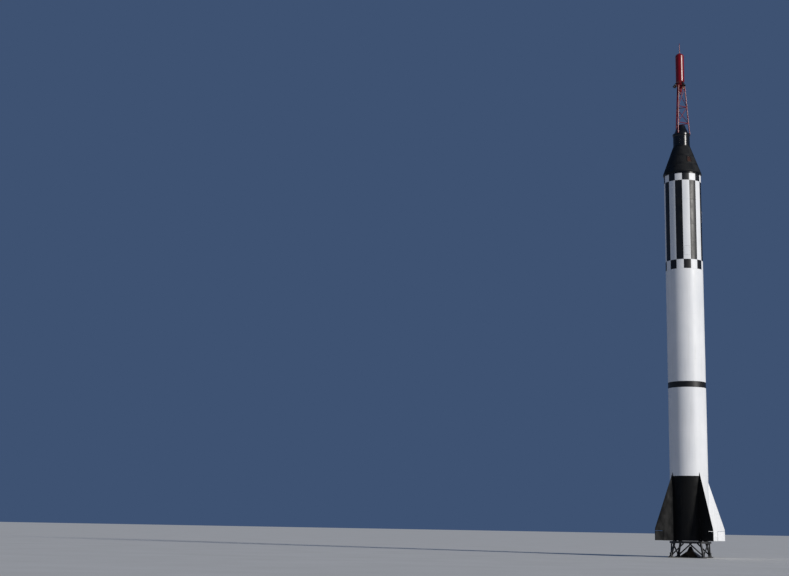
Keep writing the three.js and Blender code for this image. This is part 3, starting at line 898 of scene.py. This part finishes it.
class ROCKET_OT_engine(PieceOperator, bpy.types.Operator):
    """Engine: ribbed bell with its manifold, feed pipes, exhaust duct and thrust frame"""

    bl_idname = "rocket.engine"
    bl_label = "Engine"

    def execute(self, context):
        exit_r, throat_r, wall = 0.39, 0.185, 0.02
        (exit_z, top), throat_z = heights("engine"), 1.9

        def on_bell(share):
            """Radius and height of the bell's inner wall, from its mouth to its throat."""
            return exit_r - (exit_r - throat_r) * share**1.6, mix(exit_z, throat_z, share)

        bell = [on_bell(step / 20) for step in range(21)]
        inside = bell + [(0.2, 2.0), (0.241, 2.13), (0.241, top - 0.06), (0, top - 0.06)]
        outside = [(radius + wall, height) for radius, height in bell]
        outside += [(0.225, 2.0), (0.262, 2.12), (0.265, 2.2), (0.265, top - 0.1), (0.25, top - 0.05),
                    (0.2, top - 0.01), (0.18, top), (0, top)]
        bm = turned(list(reversed(inside)) + outside, steps=96)
        for share in (0.12, 0.24, 0.36, 0.48, 0.6, 0.72, 0.84):
            radius, height = on_bell(share)
            rib = [(-0.006, -0.014), (0.011, -0.01), (0.009, 0.01), (-0.01, 0.014)]
            turn(bm, [(radius + wall + out, height + up) for out, up in rib], steps=96, loop=True)
        manifold = [polar(0.02, 90 + around) for around in spokes(8)]
        turn(bm, [(exit_r + wall + 0.012 + offset.x, exit_z + 0.045 + offset.y) for offset in manifold],
             steps=96, loop=True)
        flange_low, flange_high = top - 0.17, top - 0.14
        turn(bm, [(0.255, flange_low), (0.292, flange_low), (0.292, flange_high), (0.255, flange_high)],
             steps=96, loop=True)
        for azimuth in spokes(32):
            stud(bm, polar(0.28, azimuth, flange_low), -UP, radius=0.008, height=0.01, sides=6)
        make_piece("engine_bell", bm, STAINED_STEEL, ["engine"])

        bm = bmesh.new()
        for azimuth in (60, 240):
            feed = [polar(0.4, azimuth, 3.05), polar(0.4, azimuth, 2.75), polar(0.33, azimuth, 2.42),
                    polar(0.24, azimuth, 2.3)]
            swept(bm, rounded_path(feed, bend=0.08), radius=0.045, sides=24)
            tube(bm, polar(0.4, azimuth, 2.86), polar(0.4, azimuth, 2.88), radius=0.07, sides=32)
        for azimuth in (120, 300):
            coolant = [polar(0.34, azimuth, 2.3), polar(0.42, azimuth, 2.0), polar(0.46, azimuth, 1.5),
                       polar(0.432, azimuth, exit_z + 0.06)]
            swept(bm, rounded_path(coolant, bend=0.12), radius=0.026, sides=20)
            tube(bm, polar(0.34, azimuth, 2.3), polar(0.25, azimuth, 2.34), radius=0.026)
        make_piece("engine_pipes", bm, BARE_STEEL)

        duct_r, upper_r, lower_r, knee = 0.085, 0.61, 0.56, 2.13
        mouth_low = low("exhaust_duct").z
        route = [polar(upper_r, 0, 3.3 - GAP), polar(upper_r, 0, 3.0), polar(lower_r, 0, knee),
                 polar(lower_r, 0, mouth_low + 0.05)]
        bm = bmesh.new()
        swept(bm, rounded_path(route, bend=0.12), radius=duct_r, sides=32)
        mouth = turned([(0.075, 0), (duct_r, 0), (duct_r, 0.3), (0.075, 0.3)], steps=32, loop=True)
        bmesh.ops.translate(mouth, verts=mouth.verts, vec=polar(lower_r, 0, mouth_low))
        join(bm, mouth)
        for height in (1.5, 2.6, 3.2):
            out = lower_r if height < knee else mix(lower_r, upper_r, (height - knee) / (3.0 - knee))
            clamp = polar(out, 0, height)
            tube(bm, clamp, clamp + UP * 0.025, radius=0.097, sides=32)
        make_piece("duct_pipe", bm, STAINED_STEEL, ["exhaust_duct"])

        bottom, top = heights("thrust_frame")
        outline = [(0, bottom), (0.159, bottom), (0.165, bottom + 0.03), (0.495, top - 0.13), (0.503, top - 0.12)]
        bm = turned(outline + [(0.503, top), (0, top)], steps=96)
        for azimuth in spokes(12, 15):
            foot, head = polar(0.17, azimuth, bottom + 0.02), polar(0.51, azimuth, top - 0.12)
            tube(bm, foot, head, radius=0.014, sides=12)
        make_piece("thrust_cone", bm, BARE_STEEL, ["thrust_frame"])
        return {"FINISHED"}


def barrel(name, node, coat, painted=None, welds=(), breaks=(), proud=0.0):
    """A closed section of the body with narrow joints at its ends, ground welds round it and paint breaks."""
    bottom, top, radius = *heights(node), BODY_R + proud
    proud_weld = fittings().weld_height
    marks = [(height, raised_band(radius, proud_weld, height, half=0.009, foot=0.014)) for height in welds]
    marks += [(height, [(radius, height)]) for height in breaks]
    profile = [(0, bottom), (radius - 0.004, bottom), (radius, bottom + 0.005)]
    for _, points in sorted(marks):
        profile += points
    profile += [(radius, top - 0.005), (radius - 0.004, top), (0, top)]
    make_piece(name, turned(profile), coat, [node], painted, sharp=WELD_SHARP)


def beside_tunnel(azimuth):
    """Whether rivets there would lie under the cable tunnel."""
    return abs(azimuth - 180) < 6


class ROCKET_OT_tank_sections(PieceOperator, bpy.types.Operator):
    """White tank sections with their ground welds, the black joint band and the cable tunnel"""

    bl_idname = "rocket.tank_sections"
    bl_label = "Tank sections"

    def execute(self, context):
        band_proud = 0.002
        barrel("lower_tank_skin", "lower_tank_section", WHITE, welds=[TAIL_TOP + 1.05 * k for k in (1, 2, 3)])
        barrel("joint_band_skin", "joint_band", BAND, proud=band_proud)
        barrel("upper_tank_skin", "upper_tank_section", WHITE, welds=[BAND_TOP + 1.09 * k for k in (1, 2, 3, 4)])

        bm = bmesh.new()
        for height in (TAIL_TOP + 0.04, TAIL_TOP + 0.1, BAND_BOTTOM - 0.04, BAND_TOP + 0.04,
                       INSTRUMENT_BOTTOM - 0.04):
            ring_of_studs(bm, BODY_R, height, skip=beside_tunnel)
        make_piece("tank_rivets", bm, WHITE)
        bm = bmesh.new()
        for height in (BAND_BOTTOM + 0.05, BAND_TOP - 0.05):
            ring_of_studs(bm, BODY_R + band_proud, height, pitch=0.116, skip=beside_tunnel,
                          radius=0.012, height=0.006, sides=6)
        make_piece("joint_band_bolts", bm, BAND)

        bottom, top = low("cable_tunnel").z + 0.35, high("cable_tunnel").z - 0.35
        strap_gaps = 11
        bm = bmesh.new()
        copy_of(bm, "cable_tunnel", width=0.012, segments=3)
        for step in range(strap_gaps + 1):
            height = mix(bottom, top, step / strap_gaps)
            slab(bm, Matrix.Translation((0, BODY_R + 0.036, height)), size=(0.166, 0.084, 0.035), rounding=0.006)
            for side in (-1, 1):
                screw = Vector((0.083 * side, BODY_R + 0.03, height))
                stud(bm, screw, Vector((side, 0, 0)), radius=0.006, height=0.003)
        for height in (BAND_BOTTOM, BAND_TOP):
            bmesh.ops.bisect_plane(bm, geom=bm.verts[:] + bm.edges[:] + bm.faces[:], dist=1e-6,
                                   plane_co=(0, 0, height), plane_no=(0, 0, 1))
        make_piece("cable_tunnel_cover", bm, STRIPED, ["cable_tunnel"],
                   lambda place, normal: 1 if BAND_BOTTOM < place.z < BAND_TOP else 0)
        return {"FINISHED"}


class ROCKET_OT_striped_sections(PieceOperator, bpy.types.Operator):
    """Instrument section and capsule adapter with their painted checks and stripes, rivets and doors"""

    bl_idname = "rocket.striped_sections"
    bl_label = "Striped sections"

    def execute(self, context):
        welds = (15.0, 15.9)
        barrel("instrument_skin", "instrument_section", STRIPED, column_paint, welds, [LOWER_CHECK_TOP])
        barrel("adapter_skin", "capsule_adapter", STRIPED, column_paint, breaks=[UPPER_CHECK_BOTTOM])
        bm = bmesh.new()
        for height in (INSTRUMENT_BOTTOM + 0.04, INSTRUMENT_BOTTOM + 0.1, *rows_beside(welds),
                       ADAPTER_BOTTOM - 0.04, ADAPTER_BOTTOM + 0.04, 17.75, ADAPTER_TOP - 0.04):
            ring_of_studs(bm, BODY_R, height)
        for azimuth in spokes(8, COLUMN):
            column_of_studs(bm, azimuth, bottom=14.3, top=ADAPTER_BOTTOM - 0.08, welds=welds)
        make_piece("instrument_rivets", bm, STRIPED, painted=column_paint)
        # azimuth, half width, bottom, top
        places = [(-45, 0.16, 16.1, 16.7), (22.5, 0.14, 14.35, 14.8), (112.5, 0.16, 16.1, 16.7),
                  (200, 0.16, 14.3, 14.85), (247.5, 0.14, 16.2, 16.6), (157.5, 0.12, 17.35, 17.65)]
        doors("instrument_doors", places, STRIPED, column_paint)
        return {"FINISHED"}


# The capsule's cone: a place on it from an azimuth, a height and how far proud it stands
CONE_SLOPE = math.atan2(CONE_BASE_R - CONE_NECK_R, CAPSULE_NECK - CAPSULE_BASE)


def cone_radius(height):
    return mix(CONE_BASE_R, CONE_NECK_R, (height - CAPSULE_BASE) / (CAPSULE_NECK - CAPSULE_BASE))


def cone_normal(azimuth):
    return polar(math.cos(CONE_SLOPE), azimuth, math.sin(CONE_SLOPE))


def on_cone(azimuth, height, proud=0.0):
    return polar(cone_radius(height), azimuth, height) + cone_normal(azimuth) * proud


def across_cone(azimuth, across, height):
    """The azimuth that lies a distance sideways of another at one height of the cone."""
    return azimuth + math.degrees(across / cone_radius(height))


def clamped(value):
    return min(1.0, max(0.0, value))


def bead(across, pitch, along_share):
    """How high a bead stands at a distance across it, fading at its two ends."""
    wave = max(0.0, math.cos(2 * math.pi * across / pitch))
    fade = clamped(min(along_share, 1 - along_share) / 0.09)
    return fittings().bead_height * wave**0.7 * fade**0.5


def wrap_on_cone(bm, azimuth, bottom, half_widths, height, thickness, cells, beaded=False):
    """A panel on the cone: a grid from -1 to 1 each way, drawn in to a tapered outline and given thickness."""
    sunk = -0.006
    made = bmesh.ops.create_grid(bm, x_segments=cells[0], y_segments=cells[1], size=1)["verts"]
    faces = list({face for vert in made for face in vert.link_faces})
    raised = bmesh.ops.extrude_face_region(bm, geom=faces)["geom"]
    upper = {item for item in raised if isinstance(item, bmesh.types.BMVert)}
    for vert in set(made) | upper:
        share = (vert.co.y + 1) / 2
        level = bottom + height * share
        across = vert.co.x * mix(*half_widths, share)
        proud = thickness if vert in upper else sunk
        if beaded and vert in upper:
            proud += bead(across, fittings().bead_pitch, share) * clamped((0.95 - abs(vert.co.x)) / 0.06)
        vert.co = on_cone(across_cone(azimuth, across, level), level, proud)


def tapered_outline(bottom, half_widths, height, parts):
    """Distances sideways and heights round a tapered outline. A side has as many parts as its length asks for."""
    lower, upper = half_widths
    corners = [(-lower, bottom), (lower, bottom), (upper, bottom + height), (-upper, bottom + height)]
    points = []
    for (x0, z0), (x1, z1) in zip(corners, corners[1:] + corners[:1]):
        count = parts(math.hypot(x1 - x0, z1 - z0))
        points += [(mix(x0, x1, step / count), mix(z0, z1, step / count)) for step in range(count)]
    return points


def cone_bolts(bm, azimuth, bottom, half_widths, height, pitch, proud, radius=0.006):
    """Bolts round a tapered outline on the cone."""
    for across, level in tapered_outline(bottom, half_widths, height, lambda side: max(1, round(side / pitch))):
        around = across_cone(azimuth, across, level)
        stud(bm, on_cone(around, level, proud), cone_normal(around), radius=radius, height=0.004)


def grooved_ring(inner, outer, bottom, top, corner, rim, depth, slope):
    """A ring's profile with a rim at each end and a shallow groove between them."""
    lower = [(outer - corner, 0), (outer, corner), (outer, rim), (outer - depth, rim + slope)]
    return ([(inner, bottom)] + [(radius, bottom + up) for radius, up in lower]
            + [(radius, top - down) for radius, down in reversed(lower)] + [(inner, top)])


def shingle_ring(bottom, top):
    """A ring of thin sheet round the cone with upright beads. Its lower edge laps over the ring below."""
    lap, levels = 0.003, 10
    beads = round(2 * math.pi * cone_radius((bottom + top) / 2) / fittings().bead_pitch)
    outer = [mix(bottom, top, step / levels) for step in range(levels + 1)]
    inner = [(cone_radius(height) - 0.01, height) for height in (top, bottom)]
    bm = turned([(cone_radius(height), height) for height in outer] + inner, steps=beads * 6, loop=True)
    for vert in bm.verts:
        height = vert.co.z
        if cone_radius(height) - vert.co.xy.length < 0.005:
            azimuth = azimuth_of(vert.co)
            share = (height - bottom) / (top - bottom)
            proud = lap * (1 - share) + bead(azimuth / 360 * beads, 1.0, share)
            vert.co = on_cone(azimuth, height, proud)
    for azimuth in spokes(48, 3.75):
        for height in (bottom + 0.014, top - 0.02):
            stud(bm, on_cone(azimuth, height, lap), cone_normal(azimuth), radius=0.007, height=0.003)
    return bm


class ROCKET_OT_capsule(PieceOperator, bpy.types.Operator):
    """Crew capsule: clamp ring, beaded shingles on the cone, bolted hatch and window"""

    bl_idname = "rocket.capsule"
    bl_label = "Capsule"

    def execute(self, context):
        ring_low, ring_high, radius = *heights("clamp_ring"), high("clamp_ring").x
        middle, out = (ring_low + ring_high) / 2, radius + 0.008
        section = grooved_ring(
            inner=0, outer=radius, bottom=ring_low, top=ring_high, corner=0.006, rim=0.022, depth=0.008, slope=0.005)
        bm = turned(section)
        for azimuth in spokes(3, 75):
            slab(bm, outward(azimuth, polar(out, azimuth, middle)), size=(0.045, 0.16, 0.046), rounding=0.006)
            for side in (-1, 1):
                ends = [polar(out, azimuth + degrees * side, middle) for degrees in (4.6, 6.6)]
                tube(bm, *ends, radius=0.012, sides=6)
        make_piece("clamp_ring_band", bm, GLOSS_BLACK, ["clamp_ring"])

        base, rim, shoulder, neck = CAPSULE_BASE + GAP, CAPSULE_BASE + 0.02, 18.54, CAPSULE_NECK - GAP
        neck_r, sunk = CONE_NECK_R + 0.004, 0.004
        bm = turned([
            (0, base), (0.915, base), (0.931, CAPSULE_BASE + 0.006), (cone_radius(rim), rim),
            (cone_radius(shoulder), shoulder), (cone_radius(shoulder) - sunk, shoulder + 0.005),
            (cone_radius(CAPSULE_NECK) - sunk, CAPSULE_NECK - 0.02), (neck_r, CAPSULE_NECK - 0.018),
            (neck_r, neck), (0, neck),
        ])
        make_piece("capsule_shell", bm, CAPSULE, ["capsule_cone"])
        for number, edges in enumerate([(18.55, 18.985), (18.975, 19.445), (19.435, 19.955)], 1):
            make_piece("capsule_shingles_%d" % number, shingle_ring(*edges), CAPSULE)

        azimuth, bottom, height, thickness = -32, 18.83, 0.68, 0.0105
        bm = bmesh.new()
        wrap_on_cone(
            bm, azimuth, bottom - 0.03, half_widths=(0.36, 0.26), height=height + 0.06, thickness=thickness,
            cells=(24, 12))
        wrap_on_cone(
            bm, azimuth, bottom, half_widths=(0.325, 0.228), height=height, thickness=thickness + 0.003,
            cells=(144, 14), beaded=True)
        cone_bolts(
            bm, azimuth, bottom - 0.014, half_widths=(0.344, 0.244), height=height + 0.028, pitch=0.034,
            proud=thickness)
        make_piece("hatch_panel", bm, CAPSULE, ["entry_hatch"])

        azimuth, bottom, height, thickness = 42, 19.055, 0.28, 0.0105
        bm = bmesh.new()
        wrap_on_cone(
            bm, azimuth, bottom, half_widths=(0.105, 0.075), height=height, thickness=thickness, cells=(8, 8))
        make_piece("window_pane", bm, GLASS, ["side_window"])
        outline = (bottom - 0.016, (0.12, 0.089), height + 0.032)
        places = [on_cone(across_cone(azimuth, across, level), level, 0.008)
                  for across, level in tapered_outline(*outline, lambda side: 6)]
        bm = bmesh.new()
        for start, end in zip(places, places[1:] + places[:1]):
            tube(bm, start, end, radius=0.016, sides=12)
        cone_bolts(bm, azimuth, *outline, pitch=0.04, proud=0.022, radius=0.005)
        make_piece("window_frame", bm, CAPSULE)
        return {"FINISHED"}


class ROCKET_OT_recovery_section(PieceOperator, bpy.types.Operator):
    """Cylinder with its smooth panels, and the antenna fairing above it"""

    bl_idname = "rocket.recovery_section"
    bl_label = "Recovery section"

    def execute(self, context):
        bottom, top, radius = *heights("recovery_cylinder"), high("recovery_cylinder").x
        bm = turned([(0, bottom), (radius - 0.003, bottom), (radius - 0.003, top - 0.09), (radius, top - 0.085),
                     (radius, top), (0, top)], steps=96)
        half_width, height = radius * math.radians(14.7), 0.242
        for panel_low in (bottom + 0.012, bottom + 0.264):
            for azimuth in spokes(12, 15):
                panel = (azimuth, half_width, panel_low, panel_low + height)
                skin_plate(bm, *panel, thickness=0.0005, radius=radius, corner=0.008)
                plate_screws(bm, *panel, radius=radius - 0.0035, inset=0.014)
        make_piece("recovery_panels", bm, GLOSS_BLACK, ["recovery_cylinder"])

        base = low("antenna_fairing").z
        # radius, height above the cylinder
        outline = [(0, 0), (0.372, 0), (0.371, 0.02), (0.345, 0.08), (0.322, 0.15), (0.299, 0.195), (0.276, 0.24),
                   (0.256, 0.285), (0.236, 0.33), (0.215, 0.395), (0.197, 0.455), (0.192, 0.475), (0.18, 0.488),
                   (0, 0.49)]
        bm = turned([(radius, base + height) for radius, height in outline], steps=96)
        lip = [(-0.02, 0), (0.006, -0.004), (-0.001, 0.016), (-0.03, 0.02)]
        for radius, height in ((0.365, 0.035), (0.278, 0.245)):
            turn(bm, [(radius + out, base + height + up) for out, up in lip], steps=96, loop=True)
        make_piece("fairing_skin", bm, GLOSS_BLACK, ["antenna_fairing"])
        return {"FINISHED"}


TOWER_LEGS = (-9, 111, 231)  # azimuths
TOWER_FOOT, TOWER_TOP = heights("escape_tower")


def tower_point(leg, height):
    share = (height - TOWER_FOOT) / (TOWER_TOP - TOWER_FOOT)
    return polar(mix(0.412, 0.212, share), TOWER_LEGS[leg % 3], height)


def gusset(bm, leg, neighbour, level):
    """A small triangular plate in the corner between a leg and the strut to its neighbour."""
    here = tower_point(leg, level)
    across = (tower_point(neighbour, level) - here).normalized()
    upright = (tower_point(leg, TOWER_TOP) - tower_point(leg, TOWER_FOOT)).normalized()
    facing = Matrix((upright, across, across.cross(upright).normalized())).transposed().to_4x4()
    bmesh.ops.create_cone(bm, cap_ends=True, segments=3, radius1=0.05, radius2=0.05, depth=0.006,
                          matrix=Matrix.Translation(here + across * 0.048) @ facing)


class ROCKET_OT_escape_tower(PieceOperator, bpy.types.Operator):
    """Escape tower: welded tubes with gussets, foot ring with clamps, top plate and jettison motor"""

    bl_idname = "rocket.escape_tower"
    bl_label = "Escape tower"

    def execute(self, context):
        levels = [21.2, 22.05, TOWER_TOP - 0.06]
        bm = bmesh.new()
        for leg in range(3):
            foot = tower_point(leg, TOWER_FOOT)
            tube(bm, foot, tower_point(leg, TOWER_TOP), radius=0.029, sides=24)
            for level in levels:
                tube(bm, tower_point(leg, level), tower_point(leg + 1, level), radius=0.018, sides=20)
                for neighbour in (leg + 1, leg + 2):
                    gusset(bm, leg, neighbour, level)
            for level, above in zip(levels, levels[1:]):
                tube(bm, tower_point(leg, level), tower_point(leg + 1, above), radius=0.015, sides=20)
            slab(bm, outward(TOWER_LEGS[leg], foot + UP * 0.006), size=(0.05, 0.12, 0.012), rounding=0.003)
            tube(bm, foot, foot + UP * 0.07, radius=0.038, end_radius=0.034, sides=24)
        make_piece("tower_tubes", bm, RED, ["escape_tower"])

        bottom, top, radius = *heights("tower_foot_ring"), high("tower_foot_ring").x
        section = grooved_ring(
            CONE_NECK_R + GAP, radius, bottom, top, corner=0.004, rim=0.02, depth=0.006, slope=0.006)
        bm = turned(section, steps=96, loop=True)
        ring_of_studs(bm, radius - 0.006, (bottom + top) / 2, pitch=0.075, radius=0.007, height=0.005, sides=6)
        make_piece("tower_foot_band", bm, GLOSS_BLACK, ["tower_foot_ring"])

        bottom, top, radius = *heights("tower_top_plate"), high("tower_top_plate").x
        edge = 0.003
        bm = turned([(0, bottom), (radius - edge, bottom), (radius, bottom + edge), (radius, top - edge),
                     (radius - edge, top), (0, top)], steps=64)
        for leg in TOWER_LEGS:
            for side in (-1, 1):
                hex_bolt(bm, polar(0.2, leg + 11 * side, top), UP, radius=0.01, height=0.012)
        make_piece("tower_cap_plate", bm, RED, ["tower_top_plate"])

        bottom, case_r, band_r = low("jettison_motor").z, 0.084, 0.092
        bm = turned([
            (0, bottom + 0.1), (0.028, bottom + 0.095), (0.052, bottom), (0.056, bottom), (0.04, bottom + 0.07),
            (0.044, bottom + 0.085), (0.078, bottom + 0.105), (case_r, bottom + 0.12),
            (case_r, TOWER_TOP - 0.06), (band_r, TOWER_TOP - 0.058), (band_r, TOWER_TOP - 0.03),
            (case_r, TOWER_TOP - 0.028), (case_r, TOWER_TOP), (0, TOWER_TOP),
        ], steps=48)
        make_piece("jettison_case", bm, RED, ["jettison_motor"])
        return {"FINISHED"}


class ROCKET_OT_escape_motor(PieceOperator, bpy.types.Operator):
    """Escape motor: banded case with its domed end, three canted nozzles and the nose spike"""

    bl_idname = "rocket.escape_motor"
    bl_label = "Escape motor"

    def execute(self, context):
        base, radius, band_proud = low("escape_motor").z, 0.208, 0.005
        bottom, shoulder, dome = 23.36, 24.7, 0.15
        end_bands = (bottom + 0.05, shoulder - 0.05)
        profile = [(0, base), (0.125, base), (0.16, base + 0.055), (0.19, base + 0.11), (0.204, base + 0.145),
                   (radius, bottom)]
        for height in (end_bands[0], 23.98, end_bands[1]):
            profile += raised_band(radius, band_proud, height, half=0.02, foot=0.026)
        profile += [(radius * math.cos(math.radians(rise)), shoulder + dome * math.sin(math.radians(rise)))
                    for rise in range(0, 73, 8)]
        profile.append((0, profile[-1][1]))
        bm = turned(profile, steps=96)
        for height in end_bands:
            ring_of_studs(bm, radius + band_proud, height, pitch=0.065, radius=0.007, height=0.004)
        for azimuth in (-39, 141):
            lug = polar(radius + 0.012, azimuth, shoulder - 0.12)
            slab(bm, outward(azimuth, lug), size=(0.03, 0.014, 0.05), rounding=0.004)
        make_piece("escape_motor_case", bm, RED, ["escape_motor"])

        cant = math.radians(26)
        # radius, distance from the throat: the inside of the bell, its rim, and the outside
        bell = [(0, 0.13), (0.03, 0.13), (0.05, 0.17), (0.066, 0.22), (0.078, 0.27), (0.081, 0.28), (0.085, 0.28),
                (0.087, 0.272), (0.087, 0.262), (0.079, 0.25), (0.066, 0.19), (0.05, 0.12), (0.038, 0.05),
                (0.034, 0.03), (0, 0.03)]
        for number, leg in enumerate(TOWER_LEGS, 1):
            azimuth = leg + 60
            throat = polar(0.175, azimuth, bottom - 0.02)
            direction = polar(math.sin(cant), azimuth, -math.cos(cant))
            bm = turned(bell, steps=48)
            bmesh.ops.transform(bm, verts=bm.verts, matrix=pointing(direction, throat))
            make_piece("nozzle_cone_%d" % number, bm, STAINED_STEEL, ["escape_nozzle_%d" % number])

        crown, tip = heights("nose_spike")
        bm = turned([
            (0, crown), (0.06, crown), (0.06, crown + 0.008), (0.034, crown + 0.014), (0.028, crown + 0.022),
            (0.026, crown + 0.05), (0.021, crown + 0.055), (0.019, crown + 0.3), (0.014, tip - 0.08),
            (0.012, tip - 0.012), (0.006, tip - 0.002), (0, tip),
        ], steps=32)
        for azimuth in spokes(8):
            stud(bm, polar(0.052, azimuth, crown + 0.008), UP, radius=0.005, height=0.004, sides=6)
        make_piece("nose_spike_rod", bm, RED, ["nose_spike"])
        return {"FINISHED"}


class ROCKET_OT_stage(PieceOperator, bpy.types.Operator):
    """Pale floor, soft light and the camera"""

    bl_idname = "rocket.stage"
    bl_label = "Stage"

    def execute(self, context):
        settings = context.scene.rocket_stage
        floor_reach = 600
        bm = bmesh.new()
        bmesh.ops.create_grid(bm, x_segments=8, y_segments=8, size=floor_reach)
        mesh = bpy.data.meshes.new("floor")
        bm.to_mesh(mesh)
        bm.free()
        mesh.materials.append(trowelled_concrete())
        floor = bpy.data.objects.new("floor", mesh)
        context.scene.collection.objects.link(floor)

        world = bpy.data.worlds.new("surround")
        world.use_nodes = True
        background = world.node_tree.nodes["Background"]
        background.inputs["Color"].default_value = settings.surround
        background.inputs["Strength"].default_value = 1.0
        context.scene.world = world

        sun = bpy.data.objects.new("key_light", bpy.data.lights.new("key_light", "SUN"))
        sun.data.energy = settings.sun_strength
        sun.data.angle = settings.sun_softness
        sun.data.color = (1.0, 0.97, 0.92)
        azimuth, elevation = 71, math.radians(22)
        towards = polar(math.cos(elevation), azimuth, math.sin(elevation))
        sun.rotation_euler = towards.to_track_quat("Z", "Y").to_euler()
        context.scene.collection.objects.link(sun)

        distance, side_view, eye = 65, 12.366, 1.2
        camera = bpy.data.objects.new("camera", bpy.data.cameras.new("camera"))
        camera.location = polar(distance, side_view, eye)
        heading, pitch, roll = math.radians(24.926), math.radians(10.215), math.radians(0.979)
        aim = Matrix.Rotation(heading, 3, "Z") @ Matrix.Rotation(math.pi / 2 + pitch, 3, "X")
        camera.rotation_euler = (aim @ Matrix.Rotation(roll, 3, "Z")).to_euler()
        camera.data.sensor_width = 36
        camera.data.lens = 60.426
        camera.data.clip_end = 2000
        context.scene.collection.objects.link(camera)
        context.scene.camera = camera
        context.scene.view_settings.view_transform = "Standard"
        return {"FINISHED"}


class ROCKET_PT_panel(bpy.types.Panel):
    """The steps, in the order in which they run"""

    bl_label = "Space rocket"
    bl_space_type = "VIEW_3D"
    bl_region_type = "UI"
    bl_category = "Rocket"

    def draw(self, context):
        for step in OPERATORS:
            self.layout.operator(step.bl_idname)
        for group in (context.scene.rocket_paint, context.scene.rocket_fittings, context.scene.rocket_stage):
            for name in group.__annotations__:
                self.layout.prop(group, name)


OPERATORS = (
    ROCKET_OT_stage,
    ROCKET_OT_bare_nodes,
    ROCKET_OT_launch_stand,
    ROCKET_OT_tail,
    ROCKET_OT_fins,
    ROCKET_OT_air_rudders,
    ROCKET_OT_jet_vanes,
    ROCKET_OT_engine,
    ROCKET_OT_tank_sections,
    ROCKET_OT_striped_sections,
    ROCKET_OT_capsule,
    ROCKET_OT_recovery_section,
    ROCKET_OT_escape_tower,
    ROCKET_OT_escape_motor,
)
GROUPS = {"rocket_paint": RocketPaint, "rocket_fittings": RocketFittings, "rocket_stage": RocketStage}


def register():
    for item in (*GROUPS.values(), *OPERATORS, ROCKET_PT_panel):
        bpy.utils.register_class(item)
    for name, group in GROUPS.items():
        setattr(bpy.types.Scene, name, bpy.props.PointerProperty(type=group))


def unregister():
    for name in GROUPS:
        delattr(bpy.types.Scene, name)
    for item in (ROCKET_PT_panel, *reversed(OPERATORS), *GROUPS.values()):
        bpy.utils.unregister_class(item)


def main():
    """Registers the add-on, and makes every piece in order."""
    register()
    for step in OPERATORS:
        group, name = step.bl_idname.split(".")
        getattr(getattr(bpy.ops, group), name)()


if __name__ == "__main__":
    main()
